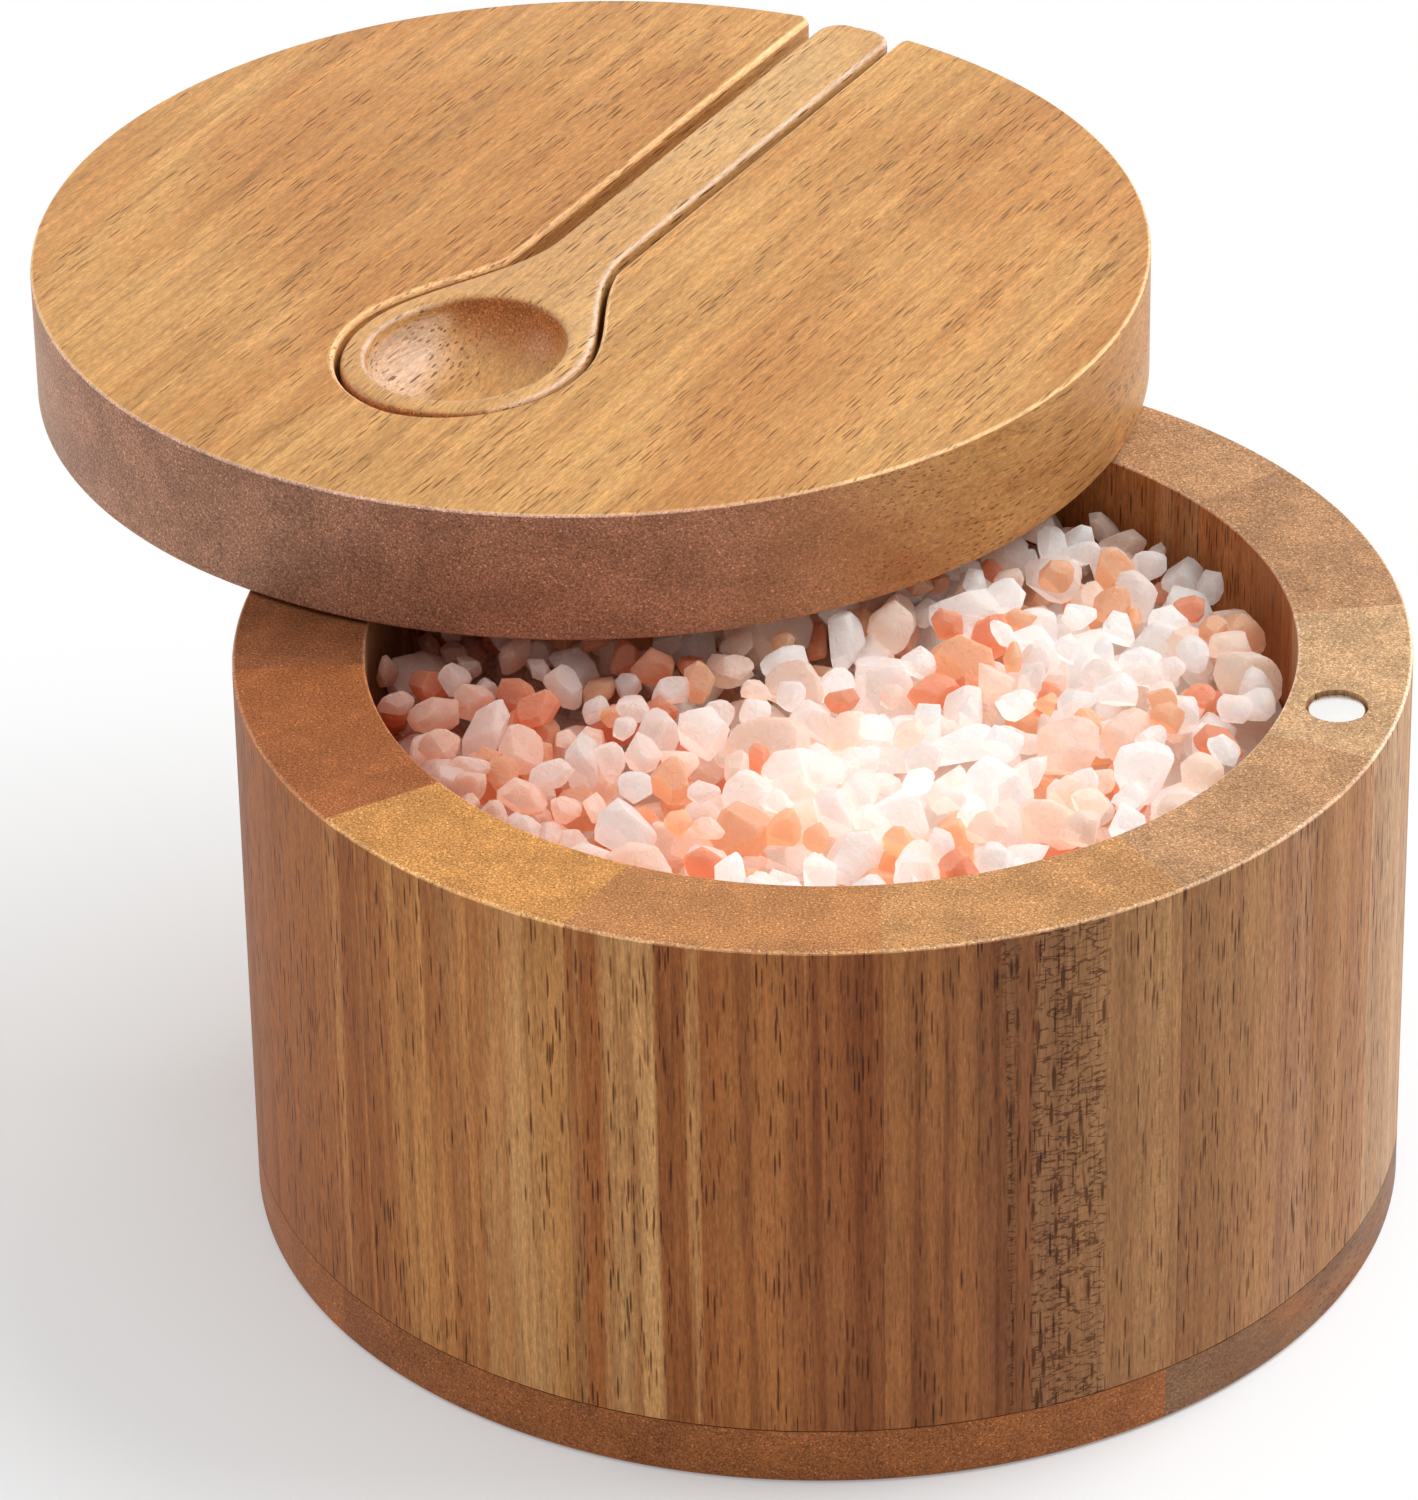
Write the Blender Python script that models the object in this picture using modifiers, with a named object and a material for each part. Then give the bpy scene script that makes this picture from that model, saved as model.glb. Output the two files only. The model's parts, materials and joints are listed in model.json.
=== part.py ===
"""Round acacia salt cellar: a cup of glued staves, a lid that swivels on a steel pin,
a spoon let into a groove in the lid, a pair of magnets that hold the lid shut, and coarse salt.

The origin is the centre of the underside. +Z is up, and +X points from the pin towards the magnet.
"""
import math

import bmesh
import bpy

# Cup wall
BODY_RADIUS = 0.051
BODY_HEIGHT = 0.053
WALL_THICKNESS = 0.0107
BORE_SHIFT = 0.0008
STAVE_COUNT = 12
FIRST_JOINT_ANGLE = math.radians(-158.7)
RIM_ROUNDING = 0.0007
BORE_ROUNDING = 0.0004

# Base board
BASE_THICKNESS = 0.0053
SIDE_PLANK_WIDTH = 0.0151
PLANK_ANGLE = math.radians(-84.6)
FOOT_ROUNDING = 0.0006

# Lid
LID_THICKNESS = 0.0125
LID_ROUNDING = 0.0006
OPEN_ANGLE = math.radians(77)
GROOVE_HALF_WIDTH = 0.0049
GROOVE_MARGIN = 0.0006
GROOVE_LIP_ROUNDING = 0.0012

# Swivel pin
PIN_RADIUS = 0.002
PIN_ACROSS_WALL_SHARE = 0.348
PIN_IN_WALL = 0.014
PIN_IN_LID = 0.009
PIN_CHAMFER = 0.0004

# Magnets
MAGNET_RADIUS = 0.0025
MAGNET_THICKNESS = 0.002
MAGNET_ACROSS_WALL_SHARE = 0.444
MAGNET_RECESS = 0.0003
MAGNET_ROUNDING = 0.0002

# Spoon, which reaches from near the pin to the lid's edge; its places are measured from its tip
SPOON_TIP_FROM_PIN = 0.0082
SPOON_OFF_CENTRE = -0.0004
BOWL_HALF_WIDTH = 0.01075
BOWL_WIDEST_AT = 0.0126
BOWL_DEPTH = 0.0085
NECK_AT = 0.035
NECK_HALF_WIDTH = 0.00345
HANDLE_END_HALF_WIDTH = 0.0037
HANDLE_DEPTH = 0.0058
HANDLE_END_ROUNDING = 0.0022
SPOON_ARRIS = 0.0008
HOLLOW_AT = 0.0125
HOLLOW_HALF_LENGTH = 0.0099
HOLLOW_HALF_WIDTH = 0.0087
HOLLOW_DEPTH = 0.0060

# Salt
SALT_BELOW_RIM_AT_WALL = 0.0085
SALT_BELOW_RIM_IN_MIDDLE = 0.0058

# Clearances
GLUE_LINE = 0.0001
SEAT_CLEARANCE = 0.0002
RUNNING_CLEARANCE = 0.0003
CUT_OVERRUN = 0.002
WELD_DISTANCE = 0.000001

# Facet counts
STAVE_ARC_STEPS = 8
PLANK_ARC_STEPS = 24
LID_STEPS = 96
PIN_STEPS = 24
SALT_STEPS = 48
ROUNDING_STEPS = 3
SPOON_STATIONS = 34
SPOON_SECTION_POINTS = 28
HOLLOW_SEGMENTS = 32
HOLLOW_RINGS = 16

# Shape of the spoon's cross-section: 2 is an ellipse, more is squarer
BOWL_SECTION_POWER = 2.3
HANDLE_SECTION_POWER = 3.2
TOP_SECTION_POWER = 5.0

# Colours: red, green, blue, as linear values
STAVE_COLOURS = [
    (0.23, 0.10, 0.045),
    (0.40, 0.21, 0.080),
    (0.31, 0.15, 0.060),
    (0.36, 0.19, 0.080),
    (0.29, 0.14, 0.060),
    (0.44, 0.27, 0.130),
]
LID_COLOUR = (0.50, 0.27, 0.10)
SPOON_COLOUR = (0.53, 0.30, 0.13)
PLANK_COLOURS = [(0.25, 0.14, 0.08), (0.28, 0.12, 0.06), (0.26, 0.15, 0.09)]
STEEL_COLOUR = (0.55, 0.55, 0.54)
NICKEL_COLOUR = (0.80, 0.79, 0.76)
SALT_COLOUR = (0.88, 0.60, 0.50)

# Places that follow from the sizes; shares across the wall count outwards from the bore
BORE_RADIUS = BODY_RADIUS - WALL_THICKNESS
PIN_FROM_CENTRE = BORE_RADIUS - BORE_SHIFT + PIN_ACROSS_WALL_SHARE * (WALL_THICKNESS + BORE_SHIFT)
MAGNET_FROM_CENTRE = BORE_RADIUS + BORE_SHIFT + MAGNET_ACROSS_WALL_SHARE * (WALL_THICKNESS - BORE_SHIFT)
SPOON_LENGTH = PIN_FROM_CENTRE + BODY_RADIUS - SPOON_TIP_FROM_PIN
GROOVE_DEPTH = BOWL_DEPTH + RUNNING_CLEARANCE
WALL_BOTTOM = BASE_THICKNESS + GLUE_LINE
LID_BOTTOM = BODY_HEIGHT + RUNNING_CLEARANCE


def clear_scene():
    for item in list(bpy.data.objects):
        bpy.data.objects.remove(item)


def new_collection(name):
    collection = bpy.data.collections.new(name)
    bpy.context.scene.collection.children.link(collection)
    return collection


def make_material(name, colour, roughness, metallic=0.0):
    material = bpy.data.materials.new(name)
    material.use_nodes = True
    shader = material.node_tree.nodes["Principled BSDF"]
    shader.inputs["Base Color"].default_value = (*colour, 1.0)
    shader.inputs["Roughness"].default_value = roughness
    shader.inputs["Metallic"].default_value = metallic
    material.diffuse_color = (*colour, 1.0)
    return material


def place(name, mesh, collection):
    item = bpy.data.objects.new(name, mesh)
    collection.objects.link(item)
    return item


def finish(item, material, smooth=True):
    item.data.materials.clear()
    item.data.materials.append(material)
    if smooth:
        item.data.shade_smooth()
        item.data.set_sharp_from_angle(angle=math.radians(35))
    return item


def polar(radius, angle):
    return radius * math.cos(angle), radius * math.sin(angle)


def arc(centre, radius, start, end, steps):
    """Points along an arc in a plane, ends included."""
    turn = (end - start) / steps
    return [
        (centre[0] + radius * math.cos(start + turn * i), centre[1] + radius * math.sin(start + turn * i))
        for i in range(steps + 1)
    ]


def plate(name, outline, low, high, collection):
    """A flat outline, filled and extruded from low to high."""
    curve = bpy.data.curves.new(name, "CURVE")
    curve.dimensions = "2D"
    curve.fill_mode = "BOTH"
    curve.extrude = (high - low) / 2
    spline = curve.splines.new("POLY")
    spline.points.add(len(outline) - 1)
    for point, (x, y) in zip(spline.points, outline):
        point.co = (x, y, 0, 1)
    spline.use_cyclic_u = True
    flat = bpy.data.objects.new(name + "_outline", curve)
    collection.objects.link(flat)
    evaluated = flat.evaluated_get(bpy.context.evaluated_depsgraph_get())
    mesh = bpy.data.meshes.new_from_object(evaluated)
    mesh.name = name
    bpy.data.objects.remove(flat)
    shape = bmesh.new()
    shape.from_mesh(mesh)
    bmesh.ops.remove_doubles(shape, verts=shape.verts, dist=WELD_DISTANCE)
    bmesh.ops.translate(shape, verts=shape.verts, vec=(0, 0, (low + high) / 2))
    bmesh.ops.dissolve_limit(
        shape, angle_limit=math.radians(0.1), verts=shape.verts, edges=shape.edges
    )
    bmesh.ops.recalc_face_normals(shape, faces=shape.faces)
    shape.to_mesh(mesh)
    shape.free()
    return place(name, mesh, collection)


def round_edges(item, amount, height, nearest, farthest):
    """Rounds the level edges at one height whose middle lies between two distances from the axis."""
    shape = bmesh.new()
    shape.from_mesh(item.data)
    edges = []
    for edge in shape.edges:
        first, second = (end.co for end in edge.verts)
        level = max(abs(first.z - height), abs(second.z - height)) < WELD_DISTANCE
        away = ((first + second) / 2).xy.length
        same_curve = abs(first.xy.length - second.xy.length) < BORE_SHIFT
        if level and same_curve and nearest < away < farthest:
            edges.append(edge)
    bmesh.ops.bevel(
        shape, geom=edges, offset=amount, segments=ROUNDING_STEPS, profile=0.5, affect="EDGES"
    )
    shape.to_mesh(item.data)
    shape.free()


def turned(name, profile, steps, collection, centre=(0, 0)):
    """A profile of (radius, height) points, from the top of the axis to its bottom, turned round Z."""
    mesh = bpy.data.meshes.new(name)
    corners = [(radius, 0, height) for radius, height in profile]
    mesh.from_pydata(corners, [(i, i + 1) for i in range(len(corners) - 1)], [])
    item = place(name, mesh, collection)
    screw = item.modifiers.new("turn", "SCREW")
    screw.steps = steps
    screw.render_steps = steps
    screw.use_merge_vertices = True
    screw.merge_threshold = WELD_DISTANCE
    item.location = (*centre, 0)
    return item


def disc_profile(radius, low, high, rounding):
    """The half outline of a disc with rounded edges."""
    top = arc((radius - rounding, high - rounding), rounding, math.pi / 2, 0, ROUNDING_STEPS)
    bottom = arc((radius - rounding, low + rounding), rounding, 0, -math.pi / 2, ROUNDING_STEPS)
    return [(0, high), *top, *bottom, (0, low)]


def cylinder_cutter(name, radius, low, high, centre, collection):
    profile = [(0, high), (radius, high), (radius, low), (0, low)]
    return mark_cutter(turned(name, profile, PIN_STEPS, collection, centre))


def mark_cutter(item):
    item.hide_render = True
    item.display_type = "WIRE"
    return item


def cut(item, cutter):
    boolean = item.modifiers.new("cut_" + cutter.name, "BOOLEAN")
    boolean.operation = "DIFFERENCE"
    boolean.solver = "EXACT"
    boolean.object = cutter


def bore_distance(angle):
    """How far the bore's surface lies from the cup's centre, in one direction."""
    across = BORE_SHIFT * math.sin(angle)
    return BORE_SHIFT * math.cos(angle) + math.sqrt(BORE_RADIUS**2 - across**2)


def stave_outline(start, end):
    """Plan of one stave between two radial joints, each drawn back by half a glue line."""
    outer_slip = math.asin(GLUE_LINE / 2 / BODY_RADIUS)
    inner_slip = math.asin(GLUE_LINE / 2 / BORE_RADIUS)
    outer = arc((0, 0), BODY_RADIUS, start + outer_slip, end - outer_slip, STAVE_ARC_STEPS)
    first = end - inner_slip
    turn = (start + inner_slip - first) / STAVE_ARC_STEPS
    angles = [first + turn * i for i in range(STAVE_ARC_STEPS + 1)]
    inner = [polar(bore_distance(angle), angle) for angle in angles]
    return outer + inner


def build_wall(parts, cutters):
    """Twelve staves glued into a ring, bored for the pin and the magnet."""
    pin_bore = cylinder_cutter(
        "wall_pin_bore", PIN_RADIUS + SEAT_CLEARANCE, BODY_HEIGHT - PIN_IN_WALL - SEAT_CLEARANCE,
        BODY_HEIGHT + CUT_OVERRUN, (-PIN_FROM_CENTRE, 0), cutters,
    )
    magnet_floor = BODY_HEIGHT - MAGNET_RECESS - MAGNET_THICKNESS - SEAT_CLEARANCE
    magnet_pocket = cylinder_cutter(
        "wall_magnet_pocket", MAGNET_RADIUS + SEAT_CLEARANCE, magnet_floor,
        BODY_HEIGHT + CUT_OVERRUN, (MAGNET_FROM_CENTRE, 0), cutters,
    )
    sector = math.tau / STAVE_COUNT
    middle = (BODY_RADIUS + BORE_RADIUS) / 2
    for number in range(STAVE_COUNT):
        start = FIRST_JOINT_ANGLE + sector * number
        name = f"wall_stave_{number + 1:02d}"
        stave = plate(name, stave_outline(start, start + sector), WALL_BOTTOM, BODY_HEIGHT, parts)
        round_edges(stave, RIM_ROUNDING, BODY_HEIGHT, middle, BODY_RADIUS)
        round_edges(stave, BORE_ROUNDING, BODY_HEIGHT, 0, middle)
        for cutter, angle, radius, reach in (
            (pin_bore, math.pi, PIN_RADIUS, PIN_FROM_CENTRE),
            (magnet_pocket, 0.0, MAGNET_RADIUS, MAGNET_FROM_CENTRE),
        ):
            away = math.remainder(angle - start - sector / 2, math.tau)
            if abs(away) < sector / 2 + (radius + SEAT_CLEARANCE) / reach:
                cut(stave, cutter)
        colour = STAVE_COLOURS[number % len(STAVE_COLOURS)]
        finish(stave, make_material(name + "_wood", colour, 0.5))


def plank_outline(from_side, to_side):
    """Plan of a plank of the round base between two distances from its middle line."""
    along = PLANK_ANGLE
    start = math.acos(from_side / BODY_RADIUS)
    end = math.acos(to_side / BODY_RADIUS)
    quarter = math.pi / 2
    first = arc((0, 0), BODY_RADIUS, along - quarter + start, along - quarter + end, PLANK_ARC_STEPS)
    second = arc((0, 0), BODY_RADIUS, along - quarter - end, along - quarter - start, PLANK_ARC_STEPS)
    outline = first + second
    kept = [outline[0]]
    for point in outline[1:]:
        if math.dist(point, kept[-1]) > GLUE_LINE and math.dist(point, kept[0]) > GLUE_LINE:
            kept.append(point)
    return kept


def build_base(parts):
    """The round base, cut from three planks glued edge to edge."""
    seam = BODY_RADIUS - SIDE_PLANK_WIDTH
    half_glue = GLUE_LINE / 2
    widths = [
        ("base_plank_right", seam + half_glue, BODY_RADIUS),
        ("base_plank_middle", -seam + half_glue, seam - half_glue),
        ("base_plank_left", -BODY_RADIUS, -seam - half_glue),
    ]
    for (name, low_side, high_side), colour in zip(widths, PLANK_COLOURS):
        plank = plate(name, plank_outline(low_side, high_side), 0, BASE_THICKNESS, parts)
        round_edges(plank, FOOT_ROUNDING, 0, (BODY_RADIUS + BORE_RADIUS) / 2, BODY_RADIUS)
        finish(plank, make_material(name + "_wood", colour, 0.55))


def swell(distance):
    """Runs smoothly from 1 at the widest place of the bowl to 0 at the neck."""
    share = (distance - BOWL_WIDEST_AT) / (NECK_AT - BOWL_WIDEST_AT)
    return (1 + math.cos(math.pi * min(max(share, 0), 1))) / 2


def tip_round(distance):
    """Quarter ellipse from 0 at the tip to 1 at the widest place of the bowl."""
    back = max(BOWL_WIDEST_AT - distance, 0) / BOWL_WIDEST_AT
    return math.sqrt(max(1 - back**2, 0))


def end_inset(distance):
    """How far the rounding of the handle's end draws the outline in."""
    past = max(distance - (SPOON_LENGTH - HANDLE_END_ROUNDING), 0)
    return HANDLE_END_ROUNDING - math.sqrt(max(HANDLE_END_ROUNDING**2 - past**2, 0))


def half_width(distance):
    run = max(distance - NECK_AT, 0) / (SPOON_LENGTH - NECK_AT)
    handle = NECK_HALF_WIDTH + (HANDLE_END_HALF_WIDTH - NECK_HALF_WIDTH) * run
    width = handle + (BOWL_HALF_WIDTH - handle) * swell(distance)
    return width * tip_round(distance) - end_inset(distance)


def full_depth(distance):
    depth = HANDLE_DEPTH + (BOWL_DEPTH - HANDLE_DEPTH) * swell(distance)
    return depth * tip_round(distance) - end_inset(distance)


def spoon_stations():
    """Distances from the tip, closer together at both ends."""
    return [
        SPOON_LENGTH * (1 - math.cos(math.pi * i / SPOON_STATIONS)) / 2
        for i in range(1, SPOON_STATIONS)
    ]


def signed_power(value, power):
    return math.copysign(abs(value) ** power, value)


def spoon_section(distance):
    """One cross-section of the spoon as (across, height) points, with the flat top at height 0."""
    width = half_width(distance)
    depth = full_depth(distance)
    arris = min(SPOON_ARRIS, depth / 2)
    power = HANDLE_SECTION_POWER + (BOWL_SECTION_POWER - HANDLE_SECTION_POWER) * swell(distance)
    points = []
    for i in range(SPOON_SECTION_POINTS):
        angle = math.tau * i / SPOON_SECTION_POINTS
        upper = math.sin(angle) > 0
        shape_power = TOP_SECTION_POWER if upper else power
        height = arris if upper else depth - arris
        across = width * signed_power(math.cos(angle), 2 / shape_power)
        rise = height * signed_power(math.sin(angle), 2 / shape_power)
        points.append((across, rise - arris))
    return points


def build_spoon(lid, parts, cutters):
    """A one-piece carved spoon: a loft of cross-sections with the hollow cut out."""
    top = RUNNING_CLEARANCE + LID_THICKNESS
    shape = bmesh.new()
    rings = []
    for distance in spoon_stations():
        x = SPOON_TIP_FROM_PIN + distance
        ring = [
            shape.verts.new((x, SPOON_OFF_CENTRE + across, top + height))
            for across, height in spoon_section(distance)
        ]
        rings.append(ring)
    for near, far in zip(rings, rings[1:]):
        for i in range(SPOON_SECTION_POINTS):
            j = (i + 1) % SPOON_SECTION_POINTS
            shape.faces.new((near[i], near[j], far[j], far[i]))
    shape.faces.new(rings[0])
    shape.faces.new(rings[-1])
    bmesh.ops.recalc_face_normals(shape, faces=shape.faces)
    mesh = bpy.data.meshes.new("spoon")
    shape.to_mesh(mesh)
    shape.free()
    spoon = place("spoon", mesh, parts)

    shape = bmesh.new()
    bmesh.ops.create_uvsphere(
        shape, u_segments=HOLLOW_SEGMENTS, v_segments=HOLLOW_RINGS, radius=1
    )
    bmesh.ops.scale(
        shape, vec=(HOLLOW_HALF_LENGTH, HOLLOW_HALF_WIDTH, HOLLOW_DEPTH), verts=shape.verts
    )
    centre = (SPOON_TIP_FROM_PIN + HOLLOW_AT, SPOON_OFF_CENTRE, top)
    bmesh.ops.translate(shape, vec=centre, verts=shape.verts)
    mesh = bpy.data.meshes.new("spoon_hollow")
    shape.to_mesh(mesh)
    shape.free()
    hollow = mark_cutter(place("spoon_hollow", mesh, cutters))
    hollow.parent = lid
    spoon.parent = lid
    cut(spoon, hollow)
    finish(spoon, make_material("spoon_wood", SPOON_COLOUR, 0.5))


def groove_side(sign):
    """One side of the groove: a margin round the bowl, then straight, with a lip at the lid's edge."""
    edge = PIN_FROM_CENTRE + BODY_RADIUS
    lip = GROOVE_LIP_ROUNDING
    side = []
    for distance in spoon_stations():
        x = SPOON_TIP_FROM_PIN + distance - GROOVE_MARGIN * (1 - tip_round(distance))
        y = SPOON_OFF_CENTRE + sign * (half_width(distance) + GROOVE_MARGIN * tip_round(distance))
        if distance > BOWL_WIDEST_AT:
            y = sign * max(sign * y, GROOVE_HALF_WIDTH)
        if x < edge - 2 * lip:
            side.append((x, y))
    rounding = arc((edge - lip, GROOVE_HALF_WIDTH + lip), lip, -math.pi / 2, 0, ROUNDING_STEPS)
    side += [(x, sign * y) for x, y in rounding]
    side.append((edge + CUT_OVERRUN, sign * (GROOVE_HALF_WIDTH + lip)))
    return side


def groove_outline():
    """Plan of the groove that the spoon lies in, running out through the lid's edge."""
    tip = (SPOON_TIP_FROM_PIN - GROOVE_MARGIN, SPOON_OFF_CENTRE)
    return [tip, *groove_side(1), *reversed(groove_side(-1))]


def build_lid(parts, cutters):
    """The lid, turned from one board; its origin is on the pin's axis, at the cup's rim."""
    low = RUNNING_CLEARANCE
    high = low + LID_THICKNESS
    profile = disc_profile(BODY_RADIUS, low, high, LID_ROUNDING)
    disc = turned("lid_disc", profile, LID_STEPS, parts)
    evaluated = disc.evaluated_get(bpy.context.evaluated_depsgraph_get())
    mesh = bpy.data.meshes.new_from_object(evaluated)
    bpy.data.objects.remove(disc)
    shape = bmesh.new()
    shape.from_mesh(mesh)
    bmesh.ops.translate(shape, vec=(PIN_FROM_CENTRE, 0, 0), verts=shape.verts)
    shape.to_mesh(mesh)
    shape.free()
    lid = place("lid", mesh, parts)
    lid.location = (-PIN_FROM_CENTRE, 0, BODY_HEIGHT)
    lid.rotation_euler = (0, 0, OPEN_ANGLE)

    groove = plate("lid_groove", groove_outline(), high - GROOVE_DEPTH, high + CUT_OVERRUN, cutters)
    mark_cutter(groove)
    pin_bore = cylinder_cutter(
        "lid_pin_bore", PIN_RADIUS + RUNNING_CLEARANCE, -CUT_OVERRUN,
        low + PIN_IN_LID + RUNNING_CLEARANCE, (0, 0), cutters,
    )
    magnet_top = low + MAGNET_RECESS + MAGNET_THICKNESS + SEAT_CLEARANCE
    magnet_pocket = cylinder_cutter(
        "lid_magnet_pocket", MAGNET_RADIUS + SEAT_CLEARANCE, -CUT_OVERRUN, magnet_top,
        (PIN_FROM_CENTRE + MAGNET_FROM_CENTRE, 0), cutters,
    )
    for cutter in (groove, pin_bore, magnet_pocket):
        cutter.parent = lid
        cut(lid, cutter)
    finish(lid, make_material("lid_wood", LID_COLOUR, 0.45))
    return lid


def build_pin(parts):
    """The steel pin, pressed into the wall; the lid's blind bore turns on its upper half."""
    top = LID_BOTTOM + PIN_IN_LID
    bottom = BODY_HEIGHT - PIN_IN_WALL
    inner = PIN_RADIUS - PIN_CHAMFER
    profile = [
        (0, top), (inner, top), (PIN_RADIUS, top - PIN_CHAMFER),
        (PIN_RADIUS, bottom + PIN_CHAMFER), (inner, bottom), (0, bottom),
    ]
    pin = turned("swivel_pin", profile, PIN_STEPS, parts, (-PIN_FROM_CENTRE, 0))
    finish(pin, make_material("pin_steel", STEEL_COLOUR, 0.3, 1.0))


def build_magnets(lid, parts):
    """Two small disc magnets that face each other when the lid is closed."""
    nickel = make_material("magnet_nickel", NICKEL_COLOUR, 0.25, 1.0)
    top = BODY_HEIGHT - MAGNET_RECESS
    profile = disc_profile(MAGNET_RADIUS, top - MAGNET_THICKNESS, top, MAGNET_ROUNDING)
    finish(turned("cup_magnet", profile, PIN_STEPS, parts, (MAGNET_FROM_CENTRE, 0)), nickel)
    low = RUNNING_CLEARANCE + MAGNET_RECESS
    profile = disc_profile(MAGNET_RADIUS, low, low + MAGNET_THICKNESS, MAGNET_ROUNDING)
    centre = (PIN_FROM_CENTRE + MAGNET_FROM_CENTRE, 0)
    magnet = finish(turned("lid_magnet", profile, PIN_STEPS, parts, centre), nickel)
    magnet.parent = lid


def build_salt(parts):
    """The salt: a low mound that fills the cup nearly to its rim."""
    reach = BORE_RADIUS - RUNNING_CLEARANCE
    edge = BODY_HEIGHT - SALT_BELOW_RIM_AT_WALL
    rise = SALT_BELOW_RIM_AT_WALL - SALT_BELOW_RIM_IN_MIDDLE
    crown = [
        (reach * i / ROUNDING_STEPS, edge + rise * math.cos(math.pi / 2 * i / ROUNDING_STEPS))
        for i in range(ROUNDING_STEPS + 1)
    ]
    floor = WALL_BOTTOM
    salt = turned("salt", [*crown, (reach, floor), (0, floor)], SALT_STEPS, parts, (BORE_SHIFT, 0))
    finish(salt, make_material("salt_crystals", SALT_COLOUR, 0.6))


def main():
    clear_scene()
    parts = new_collection("salt_cellar")
    cutters = new_collection("cutters")
    build_base(parts)
    build_wall(parts, cutters)
    build_pin(parts)
    lid = build_lid(parts, cutters)
    build_spoon(lid, parts, cutters)
    build_magnets(lid, parts)
    build_salt(parts)
    bpy.context.view_layer.update()


main()
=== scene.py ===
# %% [markdown]
# # A round salt cellar, dressed
#
# The imported model gives every piece of the cellar at its real size: a ring of glued staves, a base
# of three planks, a lid that swings on a steel pin, a spoon in its groove, two magnets and the salt.
# This lesson gives those pieces their finish. The imported model is loaded first, because each new
# piece takes its place from it.

# %% Load the imported model
import json
import math

import bmesh
import bpy
import numpy as np
from mathutils import Matrix, Vector


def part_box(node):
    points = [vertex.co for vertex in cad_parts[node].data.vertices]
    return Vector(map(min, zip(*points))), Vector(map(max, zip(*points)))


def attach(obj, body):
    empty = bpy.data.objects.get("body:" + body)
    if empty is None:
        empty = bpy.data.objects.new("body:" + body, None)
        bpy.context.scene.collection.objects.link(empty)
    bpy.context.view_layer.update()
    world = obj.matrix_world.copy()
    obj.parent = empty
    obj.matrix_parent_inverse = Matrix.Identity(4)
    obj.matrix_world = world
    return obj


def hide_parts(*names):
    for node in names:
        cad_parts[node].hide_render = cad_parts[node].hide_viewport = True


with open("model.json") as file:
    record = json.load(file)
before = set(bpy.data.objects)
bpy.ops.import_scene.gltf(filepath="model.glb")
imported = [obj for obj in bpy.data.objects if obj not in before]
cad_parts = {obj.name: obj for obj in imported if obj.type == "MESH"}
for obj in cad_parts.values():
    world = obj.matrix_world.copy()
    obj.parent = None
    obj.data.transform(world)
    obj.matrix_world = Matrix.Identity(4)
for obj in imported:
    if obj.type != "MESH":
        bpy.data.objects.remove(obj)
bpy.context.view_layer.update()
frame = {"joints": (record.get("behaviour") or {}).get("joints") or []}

# %% [markdown]
# ## The camera
#
# The photograph looks down at the cellar by about 31 degrees, nearly square to the line from the pin
# to the magnet, with a long lens, so the round rim shows as a calm ellipse. A camera could be placed
# by eye and nudged. Here its distance, height and lens were worked out from the ellipses of the rim,
# the base and the lid, and the numbers are written as a photographer would say them.

# %% Place the camera
scene = bpy.context.scene


def into_scene(name, data):
    made = bpy.data.objects.new(name, data)
    scene.collection.objects.link(made)
    return made


CAMERA_AZIMUTH = math.radians(17.0)
CAMERA_ELEVATION = math.radians(30.93)
CAMERA_ROLL = math.radians(-1.06)
CAMERA_DISTANCE = 0.6887
CAMERA_LENS_MM = 189.6
CAMERA_SENSOR_MM = 36.0
CAMERA_TARGET = Vector((-0.0095, -0.0029, 0.0418))

camera_data = bpy.data.cameras.new("camera")
camera_data.lens = CAMERA_LENS_MM
camera_data.sensor_width = CAMERA_SENSOR_MM
camera = into_scene("camera", camera_data)
scene.camera = camera
level = math.cos(CAMERA_ELEVATION)
back = Vector((
    math.sin(CAMERA_AZIMUTH) * level, -math.cos(CAMERA_AZIMUTH) * level, math.sin(CAMERA_ELEVATION)
))
right = Vector((math.cos(CAMERA_AZIMUTH), math.sin(CAMERA_AZIMUTH), 0))
up = back.cross(right)
rolled_right = math.cos(CAMERA_ROLL) * right + math.sin(CAMERA_ROLL) * up
rolled_up = math.cos(CAMERA_ROLL) * up - math.sin(CAMERA_ROLL) * right
camera_turn = Matrix((rolled_right, rolled_up, back)).transposed().to_4x4()
camera.matrix_world = Matrix.Translation(CAMERA_TARGET + back * CAMERA_DISTANCE) @ camera_turn
print("camera at", [round(v, 3) for v in camera.location])

# %% [markdown]
# ## The main sizes
#
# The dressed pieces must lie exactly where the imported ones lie. Reading the boxes of a few packed
# nodes is safer than typing sizes again. Only what a box can't tell, such as the thickness of
# the wall and the shape of the spoon, is written here as a value of its own.

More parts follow.
